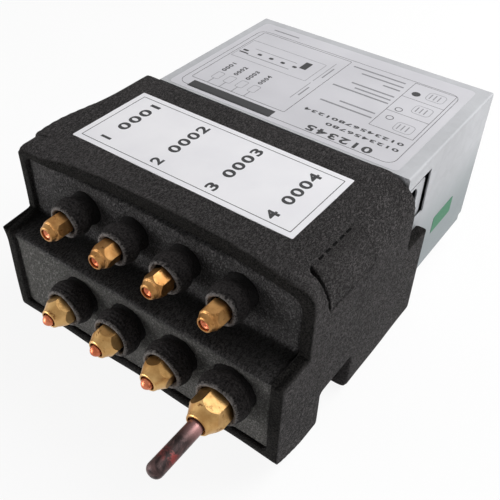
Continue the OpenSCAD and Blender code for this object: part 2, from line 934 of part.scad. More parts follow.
// Needle that a rotor draws back from the seat
module valve_needle(i) {
    point_l = 3;
    point_d = 1;
    end_in = 4;
    tip_y = valve_y + 2 * seat_l - point_l;
    shank_y = valve_y + 2 * seat_l + fit;
    shank_l = rotor_y + rotor_l - end_in - shank_y;
    color([0.8, 0.8, 0.82])
        translate([liquid_port(i)[0], 0, liquid_z]) rotate([-90, 0, 0]) {
            translate([0, 0, tip_y]) cylinder(shank_y - tip_y, d1 = point_d, d2 = needle_d);
            translate([0, 0, shank_y]) cylinder(shank_l, d = needle_d);
        }
}

// Sheet steel base: floor, front wall, rear wall and two low side lips
module box_base() {
    depth = base_rear - base_front;
    color([0.75, 0.78, 0.79])
        difference() {
            translate([-base_w / 2, base_front, box_floor])
                difference() {
                    cube([base_w, depth, base_top - box_floor]);
                    translate([-over, sheet_t, sheet_t + lip_h])
                        cube([base_w + 2 * over, depth - 2 * sheet_t, foam_h]);
                    translate([sheet_t, sheet_t, sheet_t])
                        cube([base_w - 2 * sheet_t, depth - 2 * sheet_t, foam_h]);
                }
            translate([wire_x, base_front - over, wire_z]) rotate([-90, 0, 0])
                cylinder(sheet_t + 2 * over, d = wire_d);
            for (s = [-1, 1])
                translate([s * screw_x, base_rear - sheet_t - over, screw_z]) rotate([-90, 0, 0])
                    cylinder(sheet_t + 2 * over, d = screw_d + 2 * joint_gap);
        }
}

// Folded cover: top, two full sides and a short rear flange, open underneath
module box_cover() {
    flange_z = box_top - flange_h;
    color([0.8, 0.83, 0.84])
        difference() {
            union() {
                along_y(box_front, box_rear)
                    difference() {
                        cover_section(0);
                        cover_section(sheet_t);
                    }
                translate([-box_w / 2 + sheet_t / 2, box_rear - sheet_t, flange_z])
                    cube([box_w - sheet_t, sheet_t, flange_h - sheet_t / 2]);
            }
            translate([0, box_front - over, window_low])
                cube([box_w, window_rear - box_front + over, window_h]);
            for (s = [-1, 1]) {
                translate([s > 0 ? box_w / 2 - 2 * sheet_t : -box_w / 2 - over, box_rear - foot_cut, 0])
                    cube([2 * sheet_t + over, foot_cut + over, box_floor + foot_cut]);
                translate([s * screw_x - screw_d / 2 - fit, box_rear - sheet_t - over, flange_z - over])
                    cube([screw_d + 2 * fit, sheet_t + 2 * over, screw_z - flange_z + over]);
                translate([s * screw_x, box_rear - sheet_t - over, screw_z]) rotate([-90, 0, 0])
                    cylinder(sheet_t + 2 * over, d = screw_d + 2 * fit);
            }
        }
}

// Outline of the cover from the front, with rounded bends at the top
module cover_section(inset) {
    w = box_w - 2 * inset;
    top = box_top - inset;
    r = bend_r - inset;
    low = inset > 0 ? box_floor - over : box_floor;
    translate([-w / 2, low]) square([w, top - r - low]);
    translate([-w / 2 + r, low]) square([w - 2 * r, top - low]);
    for (s = [-1, 1])
        translate([s * (w / 2 - r), top - r]) circle(r);
}

// Upright plate behind the window, with the round topped slot for the cables
module cable_plate() {
    foot_w = 12;
    low = box_floor + sheet_t;
    corner = 3;
    length = plate_rear - plate_front;
    color([0.75, 0.78, 0.79])
        difference() {
            union() {
                translate([plate_x, plate_front, low]) cube([sheet_t, length, plate_top - low - corner]);
                translate([plate_x, plate_front, low]) cube([sheet_t, length - corner, plate_top - low]);
                translate([plate_x, plate_rear - corner, plate_top - corner]) rotate([0, 90, 0])
                    cylinder(sheet_t, r = corner);
                translate([plate_x + sheet_t - foot_w, plate_front, low]) cube([foot_w, length, sheet_t]);
            }
            translate([plate_x - over, slot_y, slot_top - slot_w / 2]) rotate([0, 90, 0])
                cylinder(sheet_t + 2 * over, d = slot_w);
            translate([plate_x - over, slot_y, slot_top - slot_l + slot_w / 2]) rotate([0, 90, 0])
                cylinder(sheet_t + 2 * over, d = slot_w);
            translate([plate_x - over, slot_y - slot_w / 2, slot_top - slot_l + slot_w / 2])
                cube([sheet_t + 2 * over, slot_w, slot_l - slot_w]);
        }
}

// Screws that stay in the base; the cover's flange drops over them
module cover_screws() {
    tail = 4;
    head_h = 2.4;
    color([0.7, 0.71, 0.72])
        for (s = [-1, 1])
            translate([s * screw_x, base_rear - tail, screw_z]) rotate([-90, 0, 0]) {
                cylinder(box_rear + fit - base_rear + tail, d = screw_d);
                translate([0, 0, box_rear + fit - base_rear + tail]) cylinder(head_h, d = screw_head_d);
            }
}

module control_board() {
    color([0.1, 0.35, 0.2])
        translate([board_x, board_y, board_z]) cube([board_w, board_l, board_t]);
}

module board_standoffs() {
    color([0.85, 0.85, 0.8])
        for (x = [stand_in, board_w - stand_in], y = [stand_in, board_l - stand_in])
            translate([board_x + x, board_y + y, box_floor + sheet_t]) cylinder(board_lift, d = stand_d);
}

// Transformer, relays, capacitors, plug rows and one chip, all standing on the board
module board_parts() {
    row = 24;
    transformer = [44, 38, 32];
    relay = [19, 15, 15];
    plug = [18, 7, 10];
    chip = [22, 22, 2.5];
    tall_can_d = 18;
    tall_can_h = 30;
    low_can_d = 9;
    low_can_h = 16;
    transformer_at = [14, 80, 0];
    chip_at = [28, 36, 0];
    relay_at = [72, 96, 0];
    low_can_at = [72, 48, 0];
    tall_can_at = [82, 72, 0];
    plug_at = [24, 8, 0];
    color([0.2, 0.2, 0.22])
        translate([board_x, board_y, board_z + board_t]) {
            translate(transformer_at) cube(transformer);
            translate(chip_at) cube(chip);
            for (i = [0 : 2]) {
                translate(relay_at + [i * row, 0, 0]) cube(relay);
                translate(low_can_at + [i * row / 2, 0, 0]) cylinder(low_can_h, d = low_can_d);
            }
            for (i = [0 : 1])
                translate(tall_can_at + [i * row, 0, 0]) cylinder(tall_can_h, d = tall_can_d);
            for (i = [0 : port_count - 1])
                translate(plug_at + [i * row, 0, 0]) cube(plug);
        }
}

// Screw pitch of the terminal block
function terminal_at(i) = terminal_y + (i + 0.5) * terminal_l / terminal_n;

module terminal_block() {
    color([0.12, 0.12, 0.12])
        translate([terminal_x, 0, box_floor + sheet_t])
            difference() {
                translate([0, terminal_y, 0]) cube([terminal_w, terminal_l, terminal_h]);
                for (i = [0 : terminal_n - 1])
                    translate([-over, terminal_at(i) - bay_w / 2, terminal_h - bay_h])
                        cube([bay_l + over, bay_w, bay_h + over]);
            }
}

module terminal_screws() {
    head_d = 6.4;
    head_h = 3;
    groove = 1;
    color([0.75, 0.75, 0.75])
        for (i = [0 : terminal_n - 1])
            translate([terminal_x + bay_l / 2, terminal_at(i), box_floor + sheet_t + terminal_h - bay_h])
                difference() {
                    cylinder(head_h, d = head_d);
                    translate([-groove / 2, -head_d, head_h - groove])
                        cube([groove, 2 * head_d, groove + over]);
                }
}

placed() foam_jacket();
placed() left_flap();
placed() right_flap();
placed() front_panel();
placed() base_block();
placed() rear_bulkhead();
placed() liquid_sleeves();
placed() gas_sleeves();
placed() main_sleeves();
placed() liquid_unions();
placed() gas_unions();
placed() main_unions();
for (i = [0 : port_count - 1]) {
    placed() liquid_nut(i);
    placed() liquid_bonnet(i);
    placed() gas_nut(i);
    placed() valve_rotor(i);
    placed() valve_needle(i);
}
for (i = [0 : port_count - 2])
    placed() gas_bonnet(i);
placed() gas_stub(port_count - 1);  // gas_stub_4
placed() main_liquid_nut();
placed() main_liquid_bonnet();
placed() main_gas_nut();
placed() main_gas_bonnet();
placed() liquid_header();
placed() gas_header();
placed() liquid_links();
placed() liquid_drops();
placed() gas_branches();
placed() pipe_brackets();
placed() valve_bodies();
placed() valve_cans();
placed() valve_coils();
placed() box_base();
placed() box_cover();
placed() cable_plate();
placed() cover_screws();
placed() control_board();
placed() board_standoffs();
placed() board_parts();
placed() terminal_block();
placed() terminal_screws();
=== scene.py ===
"""Refrigerant branch box: a foam jacketed valve block with brass flare ports and a sheet steel control box."""
import math

import bpy
import numpy as np
from mathutils import Matrix, Vector


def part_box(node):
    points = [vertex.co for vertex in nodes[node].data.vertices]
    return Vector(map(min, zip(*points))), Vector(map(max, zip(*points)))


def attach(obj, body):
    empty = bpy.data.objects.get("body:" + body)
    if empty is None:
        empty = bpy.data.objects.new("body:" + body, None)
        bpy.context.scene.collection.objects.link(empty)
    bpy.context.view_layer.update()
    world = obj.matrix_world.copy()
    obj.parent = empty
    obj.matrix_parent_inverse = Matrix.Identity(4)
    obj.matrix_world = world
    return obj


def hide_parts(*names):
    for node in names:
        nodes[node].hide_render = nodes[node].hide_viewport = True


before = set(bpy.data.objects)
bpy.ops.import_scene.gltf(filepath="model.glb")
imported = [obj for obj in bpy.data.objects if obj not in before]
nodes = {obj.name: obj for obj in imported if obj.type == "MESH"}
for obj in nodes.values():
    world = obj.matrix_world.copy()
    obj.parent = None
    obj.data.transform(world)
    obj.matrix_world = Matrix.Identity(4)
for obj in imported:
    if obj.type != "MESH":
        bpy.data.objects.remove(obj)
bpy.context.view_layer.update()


# Studio. White paper floor, a broad window above and behind, a smaller one on the right, and a low card in front.
# The camera stands above the front right corner, as the photographer did.
MM = 0.001
EYE = Vector((0.280118, -0.396570, 0.485944))
VIEW_RIGHT = Vector((0.810310, 0.585344, 0.027759))
VIEW_UP = Vector((-0.405050, 0.525220, 0.748380))
LENS = 52.01
SENSOR = 36
FLOOR_HALF = 3.0
FLOOR_DROP = 0.3 * MM
FLOOR_GLOW = 0.9
FLOOR_BOUNCE = 0.28
SKY_MIRRORED = 0.55
SKY_SEEN = 0.83
SKY_FILL = 0.12
LAMPS_AIM = Vector((0, 0, 0.1))
# Each lamp's place, its size in metres and its power in watts.
LAMPS = {
    "back_window": ((0.75, 1.05, 1.3), 1.5, 37),
    "right_window": ((1.5, 0.1, 0.5), 1.1, 3.4),
    "front_card": ((-0.85, -1.1, 0.06), 0.9, 23),
}


class Shade:
    """A socket of a material: sums and products of sockets add their Math nodes, and node() adds any other node."""

    def __init__(self, tree, socket=None):
        self.tree = tree
        self.socket = socket

    def node(self, kind, settings=None, sockets=None, out=0):
        """Adds a node: first its settings, then the values or links of its sockets."""
        made = self.tree.nodes.new("ShaderNode" + kind)
        for name, value in (settings or {}).items():
            setattr(made, name, value)
        for name, value in (sockets or {}).items():
            if isinstance(value, Shade):
                self.tree.links.new(value.socket, made.inputs[name])
            else:
                made.inputs[name].default_value = value
        return Shade(self.tree, made.outputs[out])

    def maths(self, operation, a, b=0.0):
        return self.node("Math", {"operation": operation}, {0: a, 1: b})

    def __add__(self, other):
        return self.maths("ADD", self, other)

    def __sub__(self, other):
        return self.maths("SUBTRACT", self, other)

    def __rsub__(self, other):
        return self.maths("SUBTRACT", other, self)

    def __mul__(self, other):
        return self.maths("MULTIPLY", self, other)

    def __truediv__(self, other):
        return self.maths("DIVIDE", self, other)

    __radd__ = __add__
    __rmul__ = __mul__

    def larger(self, other):
        return self.maths("MAXIMUM", self, other)

    def fraction(self):
        return self.maths("FRACT", self)

    def away_from(self, other):
        return self.maths("ABSOLUTE", self - other)

    def rise(self, low, high):
        """0 up to low, 1 from high on, and a smooth step between; the other way round where low is the larger."""
        return self.node("MapRange", {"interpolation_type": "SMOOTHSTEP"},
                         {"Value": self, "From Min": low, "From Max": high})

    def mix(self, low, high):
        """Colour between two others, with this socket as the share of the second.

        The node's sockets share their names, so they go by number: 0 the share, 6 and 7 the colours, 2 the result.
        """
        return self.node("Mix", {"data_type": "RGBA"}, {0: self, 6: low, 7: high}, out=2)

    def into(self, socket):
        self.tree.links.new(self.socket, socket)


def tint(red, green, blue):
    """Linear colour from the 8-bit values that a paint chart or a screen gives."""
    share = np.array([red, green, blue]) / 255
    linear = np.where(share <= 0.04045, share / 12.92, ((share + 0.055) / 1.055) ** 2.4)
    return (*linear.tolist(), 1.0)


def start_finish(name):
    """New material: the material, its main shader's sockets, a start for expressions, and Object coordinates."""
    material = bpy.data.materials.new(name)
    material.use_nodes = True
    shade = Shade(material.node_tree)
    sockets = material.node_tree.nodes["Principled BSDF"].inputs
    return material, sockets, shade, shade.node("TexCoord", out="Object")


def put(name, data):
    """New object in the scene from a mesh, a curve, a lamp or a camera."""
    made = bpy.data.objects.new(name, data)
    bpy.context.scene.collection.objects.link(made)
    return made


def put_mesh(name, points, faces, material, smooth_angle=math.radians(35)):
    """New piece from an array of points and its faces, smooth but for the edges that bend by more than the angle."""
    mesh = bpy.data.meshes.new(name)
    mesh.from_pydata(points, [], faces)
    mesh.materials.append(material)
    mesh.shade_smooth()
    mesh.set_sharp_from_angle(angle=smooth_angle)
    return put(name, mesh)


camera = put("camera", bpy.data.cameras.new("camera"))
camera.data.lens = LENS
camera.data.sensor_width = SENSOR
view_axes = Matrix((VIEW_RIGHT, VIEW_UP, VIEW_RIGHT.cross(VIEW_UP))).transposed()
camera.matrix_world = Matrix.Translation(EYE) @ view_axes.to_4x4()
bpy.context.scene.camera = camera
bpy.context.scene.view_settings.view_transform = "Standard"

paper, sockets, shade, place = start_finish("floor_paper")
sockets["Base Color"].default_value = tint(246, 246, 246)
sockets["Roughness"].default_value = 0.9
seen, mirrored, through = (shade.node("LightPath", out=f"Is {kind} Ray")
                           for kind in ("Camera", "Glossy", "Transmission"))
glow = (seen.larger(mirrored).larger(through) * FLOOR_GLOW).larger(FLOOR_BOUNCE)
white = shade.node("Emission", None, {"Color": (1, 1, 1, 1), "Strength": 1.0})
lit = Shade(paper.node_tree, paper.node_tree.nodes["Principled BSDF"].outputs[0])
shade.node("MixShader", None, {0: glow, 1: lit, 2: white}).into(paper.node_tree.nodes["Material Output"].inputs[0])
floor_points = FLOOR_HALF * np.array([(-1, -1, 0), (1, -1, 0), (1, 1, 0), (-1, 1, 0)]) - (0, 0, FLOOR_DROP)
put_mesh("floor", floor_points, [(0, 1, 2, 3)], paper)

sky = bpy.data.worlds.new("sky")
sky.use_nodes = True
sky_sockets = sky.node_tree.nodes["Background"].inputs
sky_sockets["Color"].default_value = (1.0, 1.0, 1.0, 1)
shade = Shade(sky.node_tree)
seen, mirrored = (shade.node("LightPath", out=f"Is {kind} Ray") for kind in ("Camera", "Glossy"))
(mirrored * SKY_MIRRORED + seen * SKY_SEEN + SKY_FILL).into(sky_sockets["Strength"])
bpy.context.scene.world = sky

for name, (at, size, power) in LAMPS.items():
    lamp = put(name, bpy.data.lights.new(name, "AREA"))
    lamp.data.size = size
    lamp.data.energy = power
    lamp.matrix_world = Matrix.Translation(at) @ (Vector(at) - LAMPS_AIM).to_track_quat("Z", "Y").to_matrix().to_4x4()


# Jacket. Black rubber foam, bent and glued into a stepped housing with a wide right corner.
# The front edge is a rough cut, and the left wall of the upper part bulges where it was squeezed in.
JACKET_CELL = 2.15 * MM
HALF_WIDTH = 136 * MM
UPPER_FRONT = -110 * MM
LOWER_FRONT = -143 * MM
LEDGE = 107 * MM
WING_TOP = 101 * MM
WING_FRONT = 40 * MM
UPPER_PART = 120 * MM
CORNER = np.array([100, 131.5]) * MM
SQUARENESS = 5.5
SET_BACK_MIDDLE = 8.8 * MM
SET_BACK_LOSS = 6 * MM
REAR_PUSH = 2.6 * MM
REAR_ROUND = 12 * MM
PUSH_INNER = 9 * MM
PUSH_OUTER = 7 * MM
INNER_FACE = 127 * MM
SWELL = 5 * MM
SWELL_AT, SWELL_LENGTH = -58 * MM, 32 * MM
FADE_LOW, FADE_HIGH = 92, 122
FADE_LOW_DROP, FADE_HIGH_DROP = 10, 12
LUMP_LENGTH, LUMP_HEIGHT = 70 * MM, 0.45 * MM
FOLD_X = 116.34 * MM
FOLD_LOWEST = 160 * MM
DASHES_FRONT, DASHES_REAR = -76.3 * MM, -33.3 * MM
DASH_PITCH = 9.2 * MM
DASH_BLUR = 0.4 * MM
FOAM_SKIN = tint(88, 85, 85)
FOAM_DEEP = tint(38, 37, 37)
# The cut colour also paints the shade by the right flap's fold.
FOAM_CUT_AND_SHADE = tint(50, 48, 46)
# Painted light: the lighter tones that the lower front of the panel is painted with.
PAINTED_LIGHT_DEEP = tint(88, 87, 84)
PAINTED_LIGHT_SKIN = tint(136, 135, 131)
FOAM_GRAIN = 1.0 * MM


def points_of(mesh):
    """Points of a mesh as one array."""
    points = np.empty(3 * len(mesh.vertices))
    mesh.vertices.foreach_get("co", points)
    return points.reshape(-1, 3)


def solid_copy(node, cell=None, rounds=0):
    """A CAD solid with its doubles merged, and for foam rebuilt in cells and smoothed; returns mesh and points."""
    raw = put(node + "_raw", nodes[node].data.copy())
    raw.modifiers.new("weld", "WELD").merge_threshold = 1e-6
    if cell:
        cells = raw.modifiers.new("cells", "REMESH")
        cells.mode = "VOXEL"
        cells.voxel_size = cell
        soft = raw.modifiers.new("soft", "SMOOTH")
        soft.factor = 0.5
        soft.iterations = rounds
    mesh = bpy.data.meshes.new_from_object(raw.evaluated_get(bpy.context.evaluated_depsgraph_get()))
    bpy.data.objects.remove(raw)
    return mesh, points_of(mesh)


def reshaped(name, mesh, points, material):
    """New piece from a solid's copy with its points moved and one finish."""
    mesh.vertices.foreach_set("co", points.ravel())
    mesh.materials.clear()
    mesh.materials.append(material)
    return put(name, mesh)


def foam_piece(name, mesh, points, cut, material):
    """Reshaped foam with one attribute at each point: above 0 the rough cut, which at the panel's ledge and the right
    flap's fold is painted shade; below 0 painted light.
    """
    piece = reshaped(name, mesh, points, material)
    mesh.attributes.new("cut", "FLOAT", "POINT").data.foreach_set("value", cut)
    mesh.shade_smooth()
    return piece


def ease(value, low, high):
    """0 up to low, 1 from high on, and the smooth step 3t^2 - 2t^3 between."""
    t = np.clip((value - low) / (high - low), 0, 1)
    return t * t * (3 - 2 * t)


def lumps(points, length, height):
    """Moves points by products of slanted sine waves, about one length apart and at most one height high."""
    x, y, z = (2 * math.pi / length * points).T
    wave = np.stack([np.sin(0.9 * y + 0.6 * z + 1.3) * np.sin(0.5 * x + 0.4),
                     np.sin(0.8 * x + 0.5 * z + 0.2) * np.sin(0.6 * y + 2.1),
                     np.sin(0.7 * x + 0.9 * y + 0.7) * np.sin(0.4 * z + 1.1)], axis=1)
    return points + height * wave


def squeezed_wall(points):
    """Pushes the upper left wall out: 9 mm at its inner face and 7 mm at its outer face, fading below the ledge.

    A swelling exp(-t^2) of 5 mm more sits beside the left flap, and the fade lies lower at the front edge.
    """
    outward, along, high = -points[:, 0], points[:, 1], points[:, 2]
    push = (PUSH_INNER * ease(outward, INNER_FACE - 15 * MM, INNER_FACE)
            - (PUSH_INNER - PUSH_OUTER) * ease(outward, INNER_FACE, HALF_WIDTH))
    swell = (SWELL * ease(outward, HALF_WIDTH - 18 * MM, HALF_WIDTH)
             * np.exp(-((along - SWELL_AT) / SWELL_LENGTH) ** 2))
    front = ease(along, -122 * MM, -108 * MM) * (1 - ease(along, -95 * MM, -75 * MM))
    fade = ease(high, (FADE_LOW - FADE_LOW_DROP * front) * MM, (FADE_HIGH - FADE_HIGH_DROP * front) * MM)
    moved = points.copy()
    moved[:, 0] -= (push + swell) * fade
    return moved


def square_corner(points):
    """Makes the front of the wide right corner squarer: from a circle to |x|^n + |z|^n = r^n, fading to the rear."""
    away = np.clip(points[:, [0, 2]] - CORNER, 0, None)
    reach = np.hypot(away[:, 0], away[:, 1]) + 1e-9
    stretch = reach / (away ** SQUARENESS).sum(axis=1).clip(1e-40) ** (1 / SQUARENESS) - 1
    front = 1 - ease(points[:, 1], -108 * MM, -88 * MM)
    share = front * ease(reach, 8 * MM, 26 * MM) * (away.min(axis=1) > 0)
    moved = points.copy()
    moved[:, [0, 2]] += away * (stretch * share)[:, None]
    return moved


def foam_finish(name, skin, deep, cut_colour, grain):
    """Crepe foam: stretched noise creases the skin, its folds painted darker as shade; a cut face is coarser and
    darker.

    The perforated fold of the right flap is a row of black dashes along one line of the jacket's round corner.
    """
    material, sockets, shade, place = start_finish(name)
    cut = shade.node("Attribute", {"attribute_name": "cut"}, out="Fac")
    x, y, z = (shade.node("SeparateXYZ", None, {"Vector": place}, out=axis) for axis in "XYZ")
    slant = shade.node("Mapping", None, {"Vector": place, "Rotation": (0.5, 0.3, 0.7), "Scale": (1.0, 0.45, 0.75)})
    cloud = shade.node("TexNoise", None, {"Vector": place, "Scale": 22.0, "Detail": 3.0})
    crease = shade.node("TexNoise", None, {"Vector": slant, "Scale": 1 / grain, "Detail": 6.0, "Roughness": 0.6,
                                           "Distortion": 0.9})
    cell = shade.node("TexVoronoi", {"feature": "SMOOTH_F1"}, {"Vector": slant, "Scale": 0.7 / grain})
    pit = shade.node("TexNoise", None, {"Vector": place, "Scale": 0.85 / grain, "Detail": 5.0, "Roughness": 0.7})
    fold = crease.rise(0.4, 0.6) * 0.85 + cell.rise(0.1, 0.7) * 0.15
    rough_and_shade = cut.larger(0.0)
    # Painted shade: the skin darkens where the creases' bump is low.
    skin_colour = (fold * 0.85 + cloud.rise(0.3, 0.7) * 0.15).mix(deep, skin)
    # Painted light: below 0 the attribute paints the lighter tones on.
    painted_light_colour = (cut * -1).larger(0.0).mix(skin_colour, fold.mix(PAINTED_LIGHT_DEEP, PAINTED_LIGHT_SKIN))
    # Painted shade: the pits of a cut face go near black where their bump is low.
    colour = rough_and_shade.mix(painted_light_colour, pit.rise(0.38, 0.64).mix(tint(4, 4, 4), cut_colour))
    dash = ((y - DASHES_FRONT) / DASH_PITCH).fraction().rise(0.66, 0.6)
    row = (y.rise(DASHES_FRONT - DASH_BLUR, DASHES_FRONT + DASH_BLUR)
           * y.rise(DASHES_REAR + DASH_BLUR, DASHES_REAR - DASH_BLUR))
    line = x.away_from(FOLD_X).rise(1.0 * MM, 0.65 * MM) * z.rise(FOLD_LOWEST, FOLD_LOWEST + 1 * MM)
    (dash * row * line).mix(colour, tint(2, 2, 2)).into(sockets["Base Color"])
    (0.95 - fold * 0.2).into(sockets["Roughness"])
    sockets["Specular IOR Level"].default_value = 0.1
    height = fold * (1 - rough_and_shade) + pit * rough_and_shade * 2.2
    shade.node("Bump", None, {"Strength": 1.0, "Distance": 1.3 * MM, "Height": height}).into(sockets["Normal"])
    return material


foam_skin = foam_finish("foam_skin", FOAM_SKIN, FOAM_DEEP, FOAM_CUT_AND_SHADE, FOAM_GRAIN)
mesh, points = solid_copy("foam_jacket", JACKET_CELL, 1)
x, y, z = points.T
set_back = np.clip(SET_BACK_MIDDLE - SET_BACK_LOSS * (np.abs(x) / CORNER[0]) ** 2.5, 0, None)
edge_y = np.where(z > LEDGE - 1 * MM, UPPER_FRONT + set_back * ease(z, 146 * MM, 156 * MM), LOWER_FRONT)
y[:] = np.maximum(y, edge_y)
on_edge = 1 - ease(y - edge_y, 0.6 * MM, 2.2 * MM)
on_ledge = (np.abs(z - LEDGE) < 3 * MM) & (y < UPPER_FRONT + 2 * MM)
on_wing = (ease(z - WING_TOP, -2.5 * MM, -1 * MM) * (1 - ease(z - WING_TOP, 1 * MM, 3 * MM))
           * ease(y - WING_FRONT, 0, 3 * MM))
cut = np.maximum(np.maximum(on_edge, 0.8 * on_ledge), on_wing)
away = points[:, [0, 2]] - CORNER
reach = np.hypot(away[:, 0], away[:, 1])[:, None]
rear = ease(y, 12 * MM, 40 * MM) * ease(away[:, 1], 4 * MM, 20 * MM) * ease(away[:, 0], -30 * MM, 10 * MM)
points[:, [0, 2]] += REAR_PUSH * rear[:, None] * away / reach
rear_end = y[z > UPPER_PART].max()
corner = np.stack([-x - (HALF_WIDTH - REAR_ROUND), y - (rear_end - REAR_ROUND)], axis=1).clip(0)
over = 1 - REAR_ROUND / np.maximum(np.hypot(corner[:, 0], corner[:, 1]), REAR_ROUND)
points[:, :2] += corner * (1, -1) * (over * ease(z, 104 * MM, 114 * MM))[:, None]
points = lumps(squeezed_wall(square_corner(points)), LUMP_LENGTH, LUMP_HEIGHT)
jacket = foam_piece("jacket_foam", mesh, points, cut, foam_skin)
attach(jacket, "housing")
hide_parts("foam_jacket")


# Flaps. A piece of each top corner is cut free on three sides and folds up on a perforated line.
# The right one gapes a little at its bottom slit, and the left one has sprung open with a scalloped edge.
FLAP_CELL = 0.9 * MM
REAR_STRETCH = 1.3 * MM
FRONT_STRETCH = 0.9 * MM
FOLD_LIFT = math.radians(2.2)
BOTTOM_GAPE = math.radians(3.4)
LEFT_FOLD = np.array([-124, 167.5]) * MM
LEFT_SHUT, LEFT_SHUT_REAR = math.radians(5), math.radians(13)
LEFT_TUCK = 2.6 * MM
SCALLOP = 0.5 * MM

for side in ("right", "left"):
    mesh, points = solid_copy(side + "_flap", FLAP_CELL, 1)
    low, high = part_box(side + "_flap")
    along = points[:, 1]
    cut = 1 - ease(np.minimum(along - low.y, high.y - along), 0.4 * MM, 1.6 * MM)
    along += REAR_STRETCH * ease(along, high.y - 9 * MM, high.y)
    if side == "right":
        away = points[:, [0, 2]] - CORNER
        reach = np.hypot(away[:, 0], away[:, 1])
        angle = np.arctan2(away[:, 1], away[:, 0])
        angle += FOLD_LIFT * ease(angle, math.radians(50), math.radians(63))
        gape = BOTTOM_GAPE * (1 - ease(along, -84 * MM, -40 * MM))
        angle += gape * (1 - ease(angle, math.radians(4), math.radians(16)))
        points[:, 0] = CORNER[0] + reach * np.cos(angle)
        points[:, 2] = CORNER[1] + reach * np.sin(angle)
        cut *= along < low.y + 5 * MM
        # Painted shade: the right flap darkens towards its fold, in the cut colour.
        cut = np.maximum(cut, 0.4 * ease(angle, math.radians(30), math.radians(64)))
    else:
        inward = ease(points[:, 0], -134 * MM, -125 * MM)
        along -= FRONT_STRETCH * inward * (1 - ease(along, low.y, low.y + 4 * MM))
        shut = -(LEFT_SHUT + LEFT_SHUT_REAR * ease(along, low.y + 5 * MM, high.y - 5 * MM))
        across, up = points[:, 0] - LEFT_FOLD[0], points[:, 2] - LEFT_FOLD[1]
        points[:, 0] = LEFT_FOLD[0] + across * np.cos(shut) + up * np.sin(shut) + LEFT_TUCK * inward
        points[:, 2] = LEFT_FOLD[1] - across * np.sin(shut) + up * np.cos(shut)
        points[:, 0] -= SCALLOP * np.sin(math.pi / DASH_PITCH * along) ** 2 * (1 - inward)
        cut *= 0.2
    points = lumps(squeezed_wall(square_corner(points)), LUMP_LENGTH, LUMP_HEIGHT)
    flap = foam_piece(side + "_flap_foam", mesh, points, cut, foam_skin)
    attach(flap, side + "_flap")
    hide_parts(side + "_flap")


# Front panel, block and bulkhead. Softer foam cut to fit inside the jacket, pushed in from the front.
# The panel steps back above the ledge, and a round hole is punched in it for each port.
CORE_SKIN = tint(98, 96, 96)
CORE_DEEP = tint(33, 32, 32)
# The cut colour also paints the shade on the panel's ledge.
CORE_CUT_AND_SHADE = tint(30, 29, 29)
CORE_GRAIN = 1.2 * MM
CORE_CELLS = {"front_panel": 1.7 * MM, "base_block": 3.4 * MM, "rear_bulkhead": 3.4 * MM}
CORE_LUMP_LENGTH, CORE_LUMP_HEIGHT = 60 * MM, 0.5 * MM
PANEL_LEDGE = 103 * MM
PANEL_OVERLAP = 3 * MM
# Painted shade on the panel's ledge, darkest next to the upper panel, and painted light on the lower front.
LEDGE_SHADE, LEDGE_SHADE_LOSS = 0.85, 0.5
LOWER_PAINTED_LIGHT = 0.6

foam_core = foam_finish("foam_core", CORE_SKIN, CORE_DEEP, CORE_CUT_AND_SHADE, CORE_GRAIN)
for node, cell in CORE_CELLS.items():
    mesh, points = solid_copy(node, cell, 1)
    # The crease in the inner corner of the ledge and the ledge itself are painted dark as shade, in the cut colour.
    above = points[:, 2] - PANEL_LEDGE
    behind = points[:, 1] - points[above > 10 * MM, 1].min(initial=0)
    crease = np.exp(-(above / (1.8 * MM)) ** 2 - (behind / (2.6 * MM)) ** 2)
    shadow = LEDGE_SHADE - LEDGE_SHADE_LOSS * ease(-behind, 6 * MM, 30 * MM)
    cut = np.maximum(crease, shadow * (np.abs(above) < 1 * MM) * (behind < 0))
    # Painted light: the front of the lower panel, below the ledge, is painted lighter.
    cut -= LOWER_PAINTED_LIGHT * (1 - ease(above, -6 * MM, -1 * MM)) * (behind < -20 * MM)
    if node == "front_panel":
        points[:, 0] -= PANEL_OVERLAP * ease(-points[:, 0], 110 * MM, 122 * MM)
    points = lumps(squeezed_wall(square_corner(points)), CORE_LUMP_LENGTH, CORE_LUMP_HEIGHT)
    core = foam_piece(node + "_foam", mesh, points, cut, foam_core)
    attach(core, "housing")
    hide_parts(node)


# Pipe sleeves. Short lengths of grey foam tube pushed over each fitting, with a swollen, rubbed front lip.
# Each one is turned from one profile and a little out of round, and its back is painted dark as shade.
LIQUID_PORTS = [(x * MM, -129 * MM, 134 * MM) for x in (-75, -25, 25, 75)]
GAS_PORTS = [(x * MM, -152 * MM, 76.5 * MM) for x in (-56, -6, 44)]
WIDE_PORT = (94 * MM, -156 * MM, 76.5 * MM)
LIQUID_MAIN = (-147 * MM, -56 * MM, 98 * MM)
GAS_MAIN = (-147 * MM, -10 * MM, 76.5 * MM)
# Tube, thread, spanner size and length of the nut of each size of flare fitting, in millimetres.
QUARTER_INCH = (6.35, 11.1, 17, 19)
THREE_EIGHTHS = (9.52, 15.9, 22, 22)
HALF_INCH = (12.7, 19, 26, 25)
FIVE_EIGHTHS = (15.88, 22.2, 29, 27)
